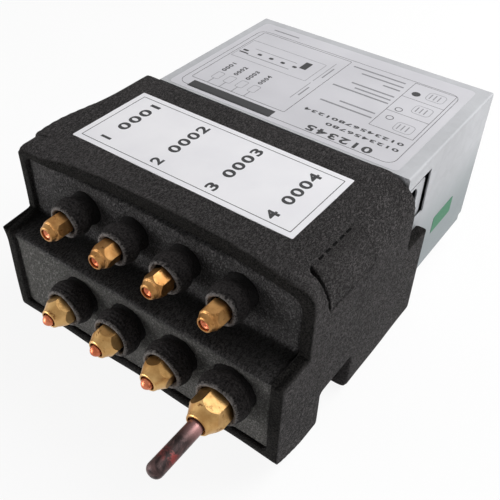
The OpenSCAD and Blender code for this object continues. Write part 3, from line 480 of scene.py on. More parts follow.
# Each sleeve's port and fitting, and how far its front and its back stand out of the port, in millimetres.
SLEEVES = {
    "liquid_sleeves": [(port, QUARTER_INCH, 1.5, -34.5) for port in LIQUID_PORTS],
    "gas_sleeves": [*((port, THREE_EIGHTHS, 8, -24.5) for port in GAS_PORTS), (WIDE_PORT, HALF_INCH, 4, -28.5)],
    "main_sleeves": [(LIQUID_MAIN, THREE_EIGHTHS, 6, -21), (GAS_MAIN, FIVE_EIGHTHS, 6, -21)],
}
SLEEVE_PLAY = 0.6 * MM
SLEEVE_WALL = 3.9 * MM
SLEEVE_LIP = 3.0 * MM
SLEEVE_SWELL = 1.9 * MM
SLEEVE_NECK = 0.7 * MM
SWELL_END = 14 * MM
WRINKLE, WRINKLE_PITCH = 0.26 * MM, 3 * MM
BORE_ROWS, LIP_ROWS, OUTER_ROWS = 13, 15, 45
RUBBED_ROW, RUBBED_ROWS = 19, 9
# Rows over which the back of each sleeve turns to painted shade.
SHADE_FROM, SHADE_TO = 34, 66
TURN_STEPS = 96


def out_of(at, leftward):
    """Matrix that points local Z straight out of the front, or out of the left side, from a place."""
    turn = Matrix.Rotation(-math.pi / 2, 4, "Y") if leftward else Matrix.Rotation(math.pi / 2, 4, "X")
    return Matrix.Translation(at) @ turn


def turned(radius, along, matrix):
    """A closed profile carried round local Z: x = r cos a, y = r sin a; arrays are profile steps by turn steps."""
    angle = np.linspace(0, 2 * math.pi, radius.shape[1], endpoint=False)
    local = np.stack([radius * np.cos(angle), radius * np.sin(angle), along + 0 * radius], axis=-1).reshape(-1, 3)
    spin = np.array(matrix)
    points = local @ spin[:3, :3].T + spin[:3, 3]
    rows, columns = radius.shape
    i, j = np.meshgrid(np.arange(rows), np.arange(columns), indexing="ij")
    ahead, beside = (i + 1) % rows, (j + 1) % columns
    faces = np.stack([i * columns + j, i * columns + beside, ahead * columns + beside, ahead * columns + j], axis=-1)
    return points, faces.reshape(-1, 4)


def sleeve_surface(at, sizes, front, back, leftward, turn):
    """Foam ring: bore forwards, half round lip, then a bulge r + s sin(pi d / 14 mm) that runs back into a neck.

    Waves of 2 and 3 lobes put it out of round, and rings 3 mm apart wrinkle it.
    """
    bore = sizes[2] / 2 * MM / math.cos(math.pi / 6) + SLEEVE_PLAY
    outside = bore + SLEEVE_WALL
    lip = front * MM - SLEEVE_LIP
    around = math.pi * np.linspace(0, 1, LIP_ROWS)
    inner = np.linspace(back * MM, lip, BORE_ROWS)
    outer = np.linspace(lip, back * MM, OUTER_ROWS)
    behind = lip - outer
    bulge = SLEEVE_SWELL * np.sin(math.pi * np.clip(behind / SWELL_END, 0, 1)) ** 0.8
    neck = SLEEVE_NECK * ease(behind, 8 * MM, SWELL_END) * (1 - ease(behind, 16 * MM, 21 * MM))
    lip_radius = (bore + outside) / 2 - SLEEVE_WALL / 2 * np.cos(around)
    r = np.concatenate([np.full(BORE_ROWS, bore), lip_radius, outside + bulge - neck])[:, None]
    a = np.concatenate([inner, lip + SLEEVE_LIP * np.sin(around), outer])[:, None]
    angle = np.linspace(0, 2 * math.pi, TURN_STEPS, endpoint=False) + turn
    wobble = 0.35 * MM * np.sin(2 * angle) + 0.2 * MM * np.sin(3 * angle + 1 + turn)
    tip = 0.5 * MM * np.sin(angle + 2 * turn) + 0.3 * MM * np.sin(3 * angle)
    wrinkle = WRINKLE * np.sin(2 * math.pi * a / WRINKLE_PITCH + 1.6 * np.sin(3 * angle + turn)) * (r > bore)
    free = ease(a, lip - 12 * MM, lip)
    return turned(r + free * (wobble + wrinkle), a + free * tip, out_of(at, leftward))


sleeve_foam, sockets, shade, place = start_finish("sleeve_foam")
rub_and_shade = shade.node("Attribute", {"attribute_name": "rub_and_shade"}, out="Fac")
cloud = shade.node("TexNoise", None, {"Vector": place, "Scale": 90.0, "Detail": 4.0})
crease = shade.node("TexNoise", None, {"Vector": place, "Scale": 640.0, "Detail": 5.0, "Distortion": 0.8})
worn = (rub_and_shade * (cloud * 0.6 + crease * 1.2 - 0.25)).rise(0.3, 0.72)
# Painted shade: the foam darkens where the creases' bump is low.
fresh = crease.rise(0.3, 0.7).mix(tint(14, 13, 13), tint(54, 51, 51))
# Painted shade: below 0 the attribute paints the back of each sleeve dark.
worn.mix(rub_and_shade.rise(-0.9, -0.1).mix(tint(30, 29, 29), fresh), tint(116, 112, 110)).into(sockets["Base Color"])
sockets["Roughness"].default_value = 0.88
sockets["Specular IOR Level"].default_value = 0.1
shade.node("Bump", None, {"Strength": 1.0, "Distance": 1.2 * MM, "Height": crease}).into(sockets["Normal"])
profile_rows = np.arange(BORE_ROWS + LIP_ROWS + OUTER_ROWS)
# Wear peaks at the lip rows, and the rows towards the back go below 0 for painted shade.
row_rub_and_shade = np.exp(-((profile_rows - RUBBED_ROW) / RUBBED_ROWS) ** 2) - ease(profile_rows, SHADE_FROM, SHADE_TO)
for node, rings in SLEEVES.items():
    surfaces = [sleeve_surface(*ring, node == "main_sleeves", 0.9 * n) for n, ring in enumerate(rings)]
    count = len(surfaces[0][0])
    points = np.concatenate([s[0] for s in surfaces])
    faces = np.concatenate([s[1] + n * count for n, s in enumerate(surfaces)])
    sleeves = put_mesh(node + "_foam", points, faces, sleeve_foam)
    rub_and_shade_share = np.tile(np.repeat(row_rub_and_shade, TURN_STEPS), len(rings))
    sleeves.data.attributes.new("rub_and_shade", "FLOAT", "POINT").data.foreach_set("value", rub_and_shade_share)
    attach(sleeves, "housing")
    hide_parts(node)


# Flare nuts. Turned and milled from brass bar: a hexagon that runs into a cone and a short round nose.
# They carry a dull cast and scattered darker stains, and their sharp edges are bevelled.
# Each nut's name, port and fitting, and how far it was screwed round, in degrees.
NUTS = [
    *((f"liquid_nut_{n + 1}", port, QUARTER_INCH, 17 + 23 * n) for n, port in enumerate(LIQUID_PORTS)),
    *((f"gas_nut_{n + 1}", port, THREE_EIGHTHS, 63 + 23 * n) for n, port in enumerate(GAS_PORTS)),
    ("gas_nut_4", WIDE_PORT, HALF_INCH, 132),
    ("main_liquid_nut", LIQUID_MAIN, THREE_EIGHTHS, 0),
    ("main_gas_nut", GAS_MAIN, FIVE_EIGHTHS, 40),
]
NUT_STEPS = 72
NOSE_WALL = 3 * MM
NOSE_LENGTH = 3 * MM
NOSE_EDGE = 0.7 * MM
SHOULDER = 0.9 * MM
MOUTH_PLAY = 1.1 * MM
MOUTH_DEPTH = 4 * MM
RIM = 0.8 * MM
FIT = 0.3 * MM
HEX_SHARE = 0.55
# Only the smallest nuts are grooved; shares of the cone's length and the depth there.
GROOVED_TUBE = 8 * MM
RING = 0.3 * MM
CONE_RINGS = ((0.15, 0), (0.3, RING), (0.45, 0), (0.6, RING), (0.75, 0))
NUT_EDGE = 0.28 * MM


def nut_surface(at, sizes, turn, leftward):
    """Hexagon r = s / cos(a) met by a 45 degree rim and a grooved cone; each step is solved for every angle at once."""
    tube, thread, spanner, length = (MM * s for s in sizes)
    angle = np.linspace(0, 2 * math.pi, NUT_STEPS, endpoint=False)
    flat = spanner / 2
    hexagon = flat / np.cos((angle + math.pi / 6) % (math.pi / 3) - math.pi / 6)
    corner = flat / math.cos(math.pi / 6)
    bore = thread / 2 + FIT
    nose = tube / 2 + NOSE_WALL
    hole = tube / 2 + FIT
    mouth = hole + MOUTH_PLAY
    shoulder = nose + SHOULDER
    cone = length * HEX_SHARE
    nose_at = length - NOSE_LENGTH
    mouth_at = length - MOUTH_DEPTH
    rim_at = np.clip(RIM - (corner - hexagon), 0, RIM)
    cone_at = cone + (corner - hexagon) / (corner - shoulder) * (nose_at - cone)
    flat_at = cone + (corner - flat) / (corner - shoulder) * (nose_at - cone)
    rings = [(flat - share * (flat - shoulder) - groove * (tube < GROOVED_TUBE), flat_at + share * (nose_at - flat_at))
             for share, groove in CONE_RINGS]
    steps = [(bore, 0), (np.minimum(hexagon, corner - RIM), 0), (hexagon, rim_at), (hexagon, cone_at), *rings,
             (shoulder, nose_at), (nose, length - 0.6 * MM), (nose - NOSE_EDGE, length), (mouth, length),
             (mouth, mouth_at), (hole, mouth_at), (hole, cone + bore - hole), (bore, cone)]
    radius, along = (np.stack([step[n] * np.ones(NUT_STEPS) for step in steps]) for n in (0, 1))
    return turned(radius, along, out_of(at, leftward) @ Matrix.Rotation(math.radians(turn), 4, "Z"))


def metal_finish(name, light, dark, stain, roughness, spot):
    """Dull metal: a slow cloud between two tones, small stains, and fine scratches that only roughen it."""
    material, sockets, shade, place = start_finish(name)
    cloud = shade.node("TexNoise", None, {"Vector": place, "Scale": 60.0, "Detail": 5.0, "Roughness": 0.6})
    blot = shade.node("TexNoise", None, {"Vector": place, "Scale": 1 / spot, "Detail": 6.0, "Roughness": 0.65})
    scratch = shade.node("TexNoise", None, {"Vector": place, "Scale": 1400.0, "Detail": 3.0})
    tone = cloud.rise(0.35, 0.65).mix(dark, light)
    blot.rise(0.56, 0.72).mix(tone, stain).into(sockets["Base Color"])
    sockets["Metallic"].default_value = 1.0
    (roughness + blot.rise(0.5, 0.75) * 0.25 + scratch * 0.12).into(sockets["Roughness"])
    relief = scratch + blot
    shade.node("Bump", None, {"Strength": 0.25, "Distance": 0.15 * MM, "Height": relief}).into(sockets["Normal"])
    return material


brass = metal_finish("brass", tint(203, 165, 109), tint(172, 130, 78), tint(108, 72, 38), 0.33, 5 * MM)
brown_brass = metal_finish("brown_brass", tint(186, 142, 90), tint(152, 108, 62), tint(96, 60, 30), 0.33, 5 * MM)
for name, at, sizes, turn in NUTS:
    points, faces = nut_surface(at, sizes, turn, name.startswith("main"))
    finish = brown_brass if name.startswith("liquid") else brass
    nut = put_mesh(name + "_brass", points, faces, finish, math.radians(25))
    edge = nut.modifiers.new("edge", "BEVEL")
    edge.width = NUT_EDGE
    edge.segments = 2
    edge.limit_method = "ANGLE"
    edge.angle_limit = math.radians(22)
    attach(nut, name)
    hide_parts(name)


# Bonnets and stub. Soft copper tube, flared behind the nut and closed in front.
# The short tips are pink and bright, and the long stub has been heated dark.
# Each one's name, port and fitting, how far its tip stands out, and the nub (or hollow, below 0) in its end, in mm.
BONNETS = [
    *((f"liquid_bonnet_{n + 1}", port, QUARTER_INCH, 18.3, -2.4) for n, port in enumerate(LIQUID_PORTS)),
    *((f"gas_bonnet_{n + 1}", port, THREE_EIGHTHS, 26.8, 0.8) for n, port in enumerate(GAS_PORTS)),
    ("gas_stub_4", WIDE_PORT, HALF_INCH, 71, 0),
    ("main_liquid_bonnet", LIQUID_MAIN, THREE_EIGHTHS, 26, 0.8),
    ("main_gas_bonnet", GAS_MAIN, FIVE_EIGHTHS, 31, 0.8),
]
BONNET_STEPS = 48
DOME_ROWS = 16
COPPER_WALL = 0.8 * MM
FLARE_PLAY = 0.5 * MM
COLLAR, COLLAR_LENGTH = 0.95 * MM, 1.2 * MM
END_WALL = 3 * MM
HOLLOW_DOME, ROUND_DOME = 0.3, 0.8
STUB_HEATED = 181


def bonnet_surface(at, sizes, tip, nub, leftward):
    """Closed tube: an elliptic dome with a nub or hollow exp(-r^2), a collar, tube, 45 degree flare, and the inside."""
    tube, thread, _, length = (MM * s for s in sizes)
    outer = tube / 2
    inner = outer - COPPER_WALL
    rim = thread / 2 - FLARE_PLAY
    back = length * HEX_SHARE - FIT * math.sqrt(2) + thread / 2 + FIT
    back_inside = back - COPPER_WALL * math.sqrt(2)
    hollow = nub < 0
    collar = outer + (COLLAR if hollow else 0)
    dome = outer * (HOLLOW_DOME if hollow else ROUND_DOME)
    dome_foot = tip * MM - dome
    collar_foot = dome_foot - COLLAR_LENGTH
    end = dome_foot - END_WALL
    bend = math.pi / 2 * np.linspace(0, 1, DOME_ROWS)
    rise = dome * np.cos(bend) + nub * MM * np.exp(-(np.sin(bend) / 0.5) ** 2) - max(nub, 0) * MM
    r = np.concatenate([collar * np.sin(bend) ** 0.8, [collar, outer, outer - 0.1 * MM, rim, rim, inner, inner, 0]])
    a = np.concatenate([dome_foot + rise, [collar_foot, collar_foot, back - outer, back - rim, back_inside - rim,
                                           back_inside - inner, end, end]])
    every = np.ones((1, BONNET_STEPS))
    return turned(r[::-1, None] * every, a[::-1, None] * every, out_of(at, leftward))


copper = metal_finish("copper", tint(206, 126, 94), tint(180, 96, 64), tint(100, 48, 32), 0.3, 4 * MM)
dark_copper, sockets, shade, place = start_finish("dark_copper")
rearward = shade.node("SeparateXYZ", None, {"Vector": place}, out="Y")
patch = shade.node("TexNoise", None, {"Vector": place, "Scale": 110.0, "Detail": 6.0, "Roughness": 0.65,
                                      "Distortion": 0.7})
speck = shade.node("TexNoise", None, {"Vector": place, "Scale": 420.0, "Detail": 4.0})
along = rearward * -1000 - STUB_HEATED + (patch - 0.5) * 14
heated = along.rise(0, 16)
flush = along.rise(24, 28) * along.rise(38, 32) * patch.rise(0.4, 0.6)
tone = flush.mix(patch.rise(0.38, 0.68).mix(tint(38, 29, 29), tint(98, 76, 75)), tint(122, 52, 50))
heated.mix(tint(150, 112, 110), tone).into(sockets["Base Color"])
(1 - heated * 0.25).into(sockets["Metallic"])
(0.3 + heated * 0.08 + speck * 0.14).into(sockets["Roughness"])
relief = patch + speck * 0.4
shade.node("Bump", None, {"Strength": 0.3, "Distance": 0.2 * MM, "Height": relief}).into(sockets["Normal"])
for name, at, sizes, tip, nub in BONNETS:
    points, faces = bonnet_surface(at, sizes, tip, nub, name.startswith("main"))
    finish = dark_copper if name == "gas_stub_4" else copper
    bonnet = put_mesh(name + "_copper", points, faces, finish, math.radians(40))
    bonnet.modifiers.new("poles", "WELD").merge_threshold = 1e-6
    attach(bonnet, name)
    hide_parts(name)
    "dark_copper" if name == "gas_stub_4" else "copper"


# Pipework. Brass unions and valve bodies, brazed copper tubes, steel cans and black coils, all inside the jacket.
# Their solids are right as they are and only get their finishes.
steel_can = metal_finish("stainless", tint(206, 208, 210), tint(186, 188, 190), tint(150, 150, 150), 0.25, 8 * MM)
magnet = metal_finish("magnet", tint(84, 84, 88), tint(62, 62, 66), tint(48, 48, 50), 0.5, 6 * MM)


def plastic_finish(name, light, dark, roughness, grain):
    """Moulded plastic: fine spark-eroded grain, and a slow change of tone."""
    material, sockets, shade, place = start_finish(name)
    cloud = shade.node("TexNoise", None, {"Vector": place, "Scale": 45.0, "Detail": 4.0})
    pores = shade.node("TexNoise", None, {"Vector": place, "Scale": 1 / grain, "Detail": 3.0})
    cloud.rise(0.3, 0.7).mix(dark, light).into(sockets["Base Color"])
    (roughness + pores * 0.2).into(sockets["Roughness"])
    shade.node("Bump", None, {"Strength": 0.3, "Distance": 0.1 * MM, "Height": pores}).into(sockets["Normal"])
    return material


def dress(material, *names):
    """Gives CAD nodes a finish in place of the one they came with."""
    for name in names:
        nodes[name].data.materials.clear()
        nodes[name].data.materials.append(material)


coil_plastic = plastic_finish("coil_plastic", tint(46, 46, 50), tint(34, 34, 38), 0.4, 0.5 * MM)
dress(brass, "liquid_unions", "gas_unions", "main_unions", "valve_bodies")
dress(copper, "liquid_header", "gas_header", "liquid_links", "liquid_drops", "gas_branches")
dress(steel_can, "valve_cans", *[f"valve_needle_{n}" for n in range(1, 5)])
dress(magnet, *[f"valve_rotor_{n}" for n in range(1, 5)])
dress(coil_plastic, "valve_coils")


# Control box. Galvanised sheet, folded into a tray and a cover that drops over it, with a faint spangle and brush.
# A plate with a slot for the cables stands behind the window in its side. Its top edge ends below the cover, so
# that a dark gap shows over it.
PLATE_EDGE = 3.5 * MM
PLATE_GAP = 4.6 * MM
ZINC_LIGHT = tint(197, 198, 201)
ZINC_DARK = tint(180, 181, 184)
# Painted reflection: the darker grey that the lower sheet takes on.
ZINC_LOW_REFLECTION = tint(140, 148, 150)

zinc, sockets, shade, place = start_finish("zinc_steel")
spangle = shade.node("TexVoronoi", None, {"Vector": place, "Scale": 150.0, "Randomness": 1.0}, out="Color")
flake = shade.node("SeparateColor", None, {"Color": spangle})
cloud = shade.node("TexNoise", None, {"Vector": place, "Scale": 14.0, "Detail": 4.0})
drawn_out = shade.node("Mapping", None, {"Vector": place, "Scale": (40, 900, 900)})
brush = shade.node("TexNoise", None, {"Vector": drawn_out, "Scale": 1.0, "Detail": 3.0})
tone = (flake * 0.45 + cloud.rise(0.3, 0.7) * 0.55).mix(ZINC_DARK, ZINC_LIGHT)
high = shade.node("SeparateXYZ", None, {"Vector": place}, out="Z")
# Painted reflection: from 140 mm down to 50 mm the sheet darkens towards a darker grey, for the darker surroundings it
# reflects low down.
(high.rise(140 * MM, 50 * MM) * 0.8).mix(tone, ZINC_LOW_REFLECTION).into(sockets["Base Color"])
sockets["Metallic"].default_value = 0.35
(0.72 + flake * 0.1 + brush * 0.1).into(sockets["Roughness"])
relief = brush + flake * 0.5
shade.node("Bump", None, {"Strength": 0.12, "Distance": 0.1 * MM, "Height": relief}).into(sockets["Normal"])
screw_steel = metal_finish("screw_steel", tint(198, 200, 202), tint(176, 178, 180), tint(140, 140, 138), 0.3, 3 * MM)
dress(zinc, "pipe_brackets", "box_base", "box_cover")
dress(screw_steel, "cover_screws", "terminal_screws")

mesh, points = solid_copy("cable_plate")
plate_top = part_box("cable_plate")[1].z
points[points[:, 2] > plate_top - PLATE_EDGE, 2] -= PLATE_GAP
plate = reshaped("cable_plate_zinc", mesh, points, zinc)
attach(plate, "housing")
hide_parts("cable_plate")


# Control board. Glass fibre board with green lacquer and tin tracks, on nylon stand-offs, with a black terminal block.
# Its components are moulded plastic, a steel laminated transformer and sleeved capacitors.
# The limits between them are in millimetres from the left and the front of the components.
RIGHT_PARTS = 45
PLUGS_REAR = 12
CANS_FRONT, CANS_REAR = 34, 85.5
RELAYS_FRONT = 86.5
IRON_FRONT = 70

board, sockets, shade, place = start_finish("circuit_board")
tracks = shade.node("TexBrick", None, {"Vector": place, "Scale": 60.0, "Mortar Size": 0.012, "Brick Width": 0.8,
                                       "Row Height": 0.25}, out="Fac")
dots = shade.node("TexVoronoi", None, {"Vector": place, "Scale": 240.0})
pads = dots.rise(0.26, 0.2)
weave = shade.node("TexNoise", None, {"Vector": place, "Scale": 900.0, "Detail": 2.0})
lacquer = weave.rise(0.3, 0.7).mix(tint(28, 92, 58), tint(36, 106, 66))
pads.mix(tracks.mix(lacquer, tint(52, 128, 80)), tint(196, 198, 190)).into(sockets["Base Color"])
(0.35 + weave * 0.15 - pads * 0.1).into(sockets["Roughness"])
shade.node("Bump", None, {"Strength": 0.3, "Distance": 0.1 * MM, "Height": tracks + pads}).into(sockets["Normal"])
dress(board, "control_board")
nylon = plastic_finish("nylon", tint(226, 224, 214), tint(212, 208, 196), 0.45, 0.7 * MM)
black_plastic = plastic_finish("black_plastic", tint(50, 50, 52), tint(38, 38, 40), 0.38, 0.6 * MM)
dress(nylon, "board_standoffs")
dress(black_plastic, "terminal_block")

parts_finish, sockets, shade, place = start_finish("board_parts")
grain = shade.node("TexNoise", None, {"Vector": place, "Scale": 1600.0, "Detail": 3.0})
layers = shade.node("TexWave", {"bands_direction": "Z"}, {"Vector": place, "Scale": 320.0, "Distortion": 0.4})
across, along = (shade.node("SeparateXYZ", None, {"Vector": place}, out=axis) for axis in "XY")
parts_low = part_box("board_parts")[0]
from_left = (across - parts_low.x) * 1000
from_front = (along - parts_low.y) * 1000
on_right = from_left.rise(RIGHT_PARTS, RIGHT_PARTS + 1)
is_plug = from_front.rise(PLUGS_REAR, PLUGS_REAR - 1)
is_relay = from_front.rise(RELAYS_FRONT, RELAYS_FRONT + 1) * on_right
is_can = from_front.rise(CANS_FRONT, CANS_FRONT + 1) * from_front.rise(CANS_REAR, CANS_REAR - 1) * on_right
is_iron = from_front.rise(IRON_FRONT, IRON_FRONT + 1) * (1 - on_right)
plain = grain.rise(0.3, 0.7).mix(tint(34, 34, 36), tint(46, 46, 48))
bodies = is_can.mix(is_relay.mix(is_plug.mix(plain, tint(222, 218, 204)), tint(36, 62, 112)), tint(58, 44, 78))
is_iron.mix(bodies, layers.mix(tint(96, 92, 88), tint(128, 124, 118))).into(sockets["Base Color"])
(0.36 + grain * 0.2 + is_iron * 0.1).into(sockets["Roughness"])
relief = grain + layers * is_iron
shade.node("Bump", None, {"Strength": 0.3, "Distance": 0.1 * MM, "Height": relief}).into(sockets["Normal"])
dress(parts_finish, "board_parts")


# Port label. A white paper sheet on the jacket's top with a thin printed frame and one number over each pair of ports.
# The numbers read along the jacket, with their tops to the left.
LABEL_LEFT, LABEL_RIGHT = -118 * MM, 93.2 * MM
LABEL_FRONT, LABEL_REAR = -73.5 * MM, 11.7 * MM
LABEL_Z = 167.5 * MM
LABEL_SUNK = 0.3 * MM
PAPER = 0.35 * MM
INK = 0.06 * MM
INK_SUNK = 0.02 * MM
FRAME_OUTER, FRAME_INNER = 5.0 * MM, 5.6 * MM
NUMBER_TOP, NUMBER_PITCH, NUMBER_TALL = -99, 53.7, 10
NUMBER_Y, NUMBER_WIDE = -60, (2.6, 8.2, 8.2, 9.2)
COUNT_FRONT, COUNT_REAR = -44, 1
FIGURE_SIZE = 10 * MM
FIGURE_WEIGHT = 0.03


def rounded(left, front, right, rear, radius, steps=6):
    """Outline of a rectangle with quarter round corners, anticlockwise, as an array of x and y."""
    bend = math.pi / 2 * np.linspace(0, 1, steps)
    centres = [(right - radius, front + radius, -1), (right - radius, rear - radius, 0),
               (left + radius, rear - radius, 1), (left + radius, front + radius, 2)]
    return np.concatenate([np.stack([cx + radius * np.cos(bend + q * math.pi / 2),
                                     cy + radius * np.sin(bend + q * math.pi / 2)], axis=1) for cx, cy, q in centres])


def card(outline, low, high):
    """Flat prism: an outline at two heights, both ends closed and a wall between; returns points and faces."""
    count = len(outline)
    points = np.concatenate([np.column_stack([outline, np.full(count, h)]) for h in (low, high)])
    ring = np.arange(count)
    ahead = (ring + 1) % count
    walls = np.stack([ring, ahead, ahead + count, ring + count], axis=1).tolist()
    return points, walls + [ring[::-1].tolist(), (ring + count).tolist()]


def band(outline, inner, low, high):
    """Closed ring between two outlines with as many points each: a printed line with a hair of thickness."""
    count = len(outline)
    loops = [(outline, low), (outline, high), (inner, high), (inner, low)]
    points = np.concatenate([np.column_stack([loop, np.full(count, h)]) for loop, h in loops])
    ring = np.arange(count)
    ahead = (ring + 1) % count
    starts = count * np.arange(len(loops))
    faces = [np.stack([ring + here, ahead + here, ahead + beside, ring + beside], axis=1)
             for here, beside in zip(starts, np.roll(starts, -1))]
    return points, np.concatenate(faces).tolist()


def figures(text, left, right, front, rear, turn, top):
    """Row of figures turned about Z, stretched to fill a rectangle in millimetres and with its face at one height."""
    curve = bpy.data.curves.new("figure", "FONT")
    curve.body = text
    curve.size = FIGURE_SIZE
    curve.extrude = INK / 2
    curve.offset = FIGURE_WEIGHT * FIGURE_SIZE
    curve.space_character = 1.2
    curve.align_x = "CENTER"
    curve.align_y = "CENTER"
    figure = put("figure", curve)
    mesh = bpy.data.meshes.new_from_object(figure.evaluated_get(bpy.context.evaluated_depsgraph_get()))
    bpy.data.objects.remove(figure)
    points = points_of(mesh) @ np.array(Matrix.Rotation(turn, 3, "Z")).T
    low, high = points.min(axis=0)[:2], points.max(axis=0)[:2]
    fill_low, fill_high = np.array([left, front]) * MM, np.array([right, rear]) * MM
    points[:, :2] = fill_low + (points[:, :2] - low) / (high - low) * (fill_high - fill_low)
    points[:, 2] += top - INK / 2
    return points, [list(p.vertices) for p in mesh.polygons]


def gather(parts):
    """Joins several surfaces into one list of points and faces."""
    starts = np.cumsum([0] + [len(p[0]) for p in parts])
    faces = [np.add(face, start).tolist() for (_, some), start in zip(parts, starts) for face in some]
    return np.concatenate([p[0] for p in parts]), faces


paper_white, sockets, shade, place = start_finish("label_paper")
fibre = shade.node("TexNoise", None, {"Vector": place, "Scale": 700.0, "Detail": 4.0})
cloud = shade.node("TexNoise", None, {"Vector": place, "Scale": 18.0, "Detail": 3.0})
ripple = shade.node("TexNoise", None, {"Vector": place, "Scale": 26.0, "Detail": 2.0, "Distortion": 1.4})
cloud.rise(0.3, 0.7).mix(tint(240, 239, 243), tint(247, 246, 249)).into(sockets["Base Color"])
(0.42 + fibre * 0.15).into(sockets["Roughness"])
relief = ripple + fibre * 0.04
shade.node("Bump", None, {"Strength": 0.35, "Distance": 0.5 * MM, "Height": relief}).into(sockets["Normal"])


def ink_finish(name, dark, light):
    """Printing ink: fine specks between two tones."""
    material, sockets, shade, place = start_finish(name)
    speck = shade.node("TexNoise", None, {"Vector": place, "Scale": 900.0, "Detail": 3.0})
    speck.rise(0.3, 0.7).mix(dark, light).into(sockets["Base Color"])
    sockets["Roughness"].default_value = 0.5
    return material


ink_black = ink_finish("label_ink", tint(38, 38, 40), tint(50, 50, 52))
label_edge = rounded(LABEL_LEFT, LABEL_FRONT, LABEL_RIGHT, LABEL_REAR, 1 * MM)
label = put_mesh("port_label", *card(label_edge, LABEL_Z - LABEL_SUNK, LABEL_Z + PAPER), paper_white)
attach(label, "housing")
print_low, print_high = LABEL_Z + PAPER - INK_SUNK, LABEL_Z + PAPER + INK
frame_lines = [rounded(LABEL_LEFT + d, LABEL_FRONT + d, LABEL_RIGHT - d, LABEL_REAR - d, 0.8 * MM)
               for d in (FRAME_OUTER, FRAME_INNER)]
prints = [band(*frame_lines, print_low, print_high)]
for n, wide in enumerate(NUMBER_WIDE):
    top = NUMBER_TOP + NUMBER_PITCH * n
    foot = top + NUMBER_TALL
    prints.append(figures(str(n + 1), top, foot, NUMBER_Y - wide / 2, NUMBER_Y + wide / 2, math.pi / 2, print_high))
    prints.append(figures(f"000{n + 1}", top, foot, COUNT_FRONT, COUNT_REAR, math.pi / 2, print_high))
label_print = put_mesh("port_label_print", *gather(prints), ink_black)
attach(label_print, "housing")


# Cover label. A thin grey-white sheet on the control box, printed with a ruled frame, a plan of the four ports,
# a column of plain panels and rows of figures that read from the rear. It lifts with the cover.
COVER_Z = 166.8 * MM
COVER_SUNK = 0.2 * MM
COVER_PAPER = 0.12 * MM
LINE = 0.45 * MM
SHEET = (-117 * MM, 43 * MM, 113 * MM, 199 * MM)
SHEET_ROUND = 5 * MM
# Printed blocks: left, front, right and rear in millimetres, and their corners' radius.
BLACK_BLOCKS = ((-99, 47, -10.5, 58.3, 0.4), (-38, 137, -31, 151, 0.2), (-102, 129.5, -92, 131.5, 0.2),
                (-101, 134, -95, 137, 1.2), (61.5, 121.5, 102.5, 121.9, 0.2), (61.5, 151, 102.5, 151.4, 0.2),
                (67, 157.2, 75, 165.2, 3.9))
GREY_BLOCKS = ((-92, 128, -44, 129), (-92, 143, -44, 143.7), (-14.6, 86, -14, 120), (-14.6, 124, -14, 166),
               (-11.5, 94, -10.2, 112), (-11.5, 134, -10.2, 156), (-101.5, 189, -72, 190.8))
BLACK_FRAMES = ((-111, 48.5, 105.5, 182, 9), (-106, 62, -4.5, 179, 2), (61.5, 90.5, 102.5, 180, 0.5))
# Rows of figures with left, right, front and rear, and lines of text as bars with left, right and front.
FIGURE_ROWS = (("012345", 23, 84, 50.5, 59.5), ("0123456780", 33, 100.5, 66.8, 71.2),
               ("01234567801234", 5.5, 100, 77, 81.4))
BARS = ((1, 55, 171.5), (14, 57, 163.5), (40, 57, 156), (15, 58, 143), (22, 58, 136), (3, 59, 129.5), (23, 58, 107.5),
        (8, 59, 99.5))
BAR_TALL = 2.1
RINGS = (110.8, 127.6)
PANELS = (95, 130, 158)
cover_low, cover_high = COVER_Z + COVER_PAPER - INK_SUNK, COVER_Z + COVER_PAPER + INK


def box_card(left, front, right, rear, radius=0.2):
    """Printed block between two corners in millimetres."""
    return card(rounded(left * MM, front * MM, right * MM, rear * MM, radius * MM), cover_low, cover_high)


def box_line(left, front, right, rear, radius, width=LINE):
    """Printed frame of one line width, inside two corners in millimetres."""
    outer = rounded(left * MM, front * MM, right * MM, rear * MM, radius * MM)
    inner = rounded(left * MM + width, front * MM + width, right * MM - width, rear * MM - width,
                    max(radius * MM - width, 1e-5))
    return band(outer, inner, cover_low, cover_high)


cover_paper, sockets, shade, place = start_finish("cover_paper")
film = shade.node("TexNoise", None, {"Vector": place, "Scale": 16.0, "Detail": 4.0})
fibre = shade.node("TexNoise", None, {"Vector": place, "Scale": 600.0, "Detail": 3.0})
film.rise(0.3, 0.7).mix(tint(205, 204, 209), tint(213, 212, 217)).into(sockets["Base Color"])
(0.4 + fibre * 0.2).into(sockets["Roughness"])
shade.node("Bump", None, {"Strength": 0.2, "Distance": 0.2 * MM, "Height": film + fibre * 0.1}).into(sockets["Normal"])
ink_grey = ink_finish("label_grey_ink", tint(128, 128, 132), tint(146, 146, 150))

sheet_edge = rounded(*SHEET, SHEET_ROUND)
cover_label = put_mesh("cover_label", *card(sheet_edge, COVER_Z - COVER_SUNK, COVER_Z + COVER_PAPER), cover_paper)
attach(cover_label, "box_cover")

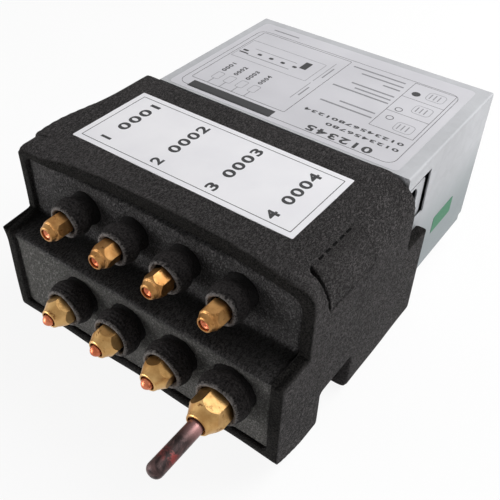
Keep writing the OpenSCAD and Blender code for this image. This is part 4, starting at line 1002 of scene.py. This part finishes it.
black = [box_line(*frame_line) for frame_line in BLACK_FRAMES]
black += [box_card(*block) for block in BLACK_BLOCKS]
black += [figures(*row, math.pi, cover_high) for row in FIGURE_ROWS]
black += [figures(f"000{n + 1}", -92.5 + 13.6 * n, -87.8 + 13.6 * n, 88.5, 107, math.pi / 2, cover_high)
          for n in range(4)]
black += [box_card(-84 + 13.2 * n, 134, -79.5 + 13.2 * n, 137.5, 1.4) for n in range(4)]
black += [box_line(67.4, y - 3.5, 74.4, y + 3.5, 3.4, 0.7 * MM) for y in RINGS]
cover_print = put_mesh("cover_label_print", *gather(black), ink_black)
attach(cover_print, "box_cover")

grey = [box_line(-92 + 13.4 * n, 72, -84 + 13.4 * n, 85, 2) for n in range(4)]
grey += [box_card(-88.4 + 13.4 * n, 62.4, -87.6 + 13.4 * n, 72) for n in range(4)]
grey += [box_line(-104, 119, -20, 158, 1)]
grey += [box_card(*block) for block in GREY_BLOCKS]
grey += [box_card(left, front, right, front + BAR_TALL) for left, right, front in BARS]
grey += [box_line(80, front, 97, front + 15, 4) for front in PANELS]
grey += [box_card(83 + 4 * n, front + 3, 84 + 4 * n, front + 12) for front in PANELS for n in range(3)]
cover_print_grey = put_mesh("cover_label_print_grey", *gather(grey), ink_grey)
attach(cover_print_grey, "box_cover")


# Side sticker. A small green paper sticker low on the right side of the box cover.
# It is stuck on by hand and lifts with the cover.
STICKER_X = 125.7 * MM
STICKER_SUNK, STICKER_PAPER = 0.1 * MM, 0.25 * MM
STICKER = (121.4 * MM, 59.5 * MM, 163.3 * MM, 78 * MM)

green, sockets, shade, place = start_finish("green_sticker")
dots = shade.node("TexNoise", None, {"Vector": place, "Scale": 500.0, "Detail": 3.0})
dots.rise(0.3, 0.7).mix(tint(32, 108, 72), tint(44, 120, 84)).into(sockets["Base Color"])
sockets["Specular IOR Level"].default_value = 0.2
sockets["Roughness"].default_value = 0.45
points, faces = card(rounded(*STICKER, 1 * MM), STICKER_X - STICKER_SUNK, STICKER_X + STICKER_PAPER)
sticker = put_mesh("side_sticker", points[:, [2, 0, 1]], faces, green)
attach(sticker, "box_cover")
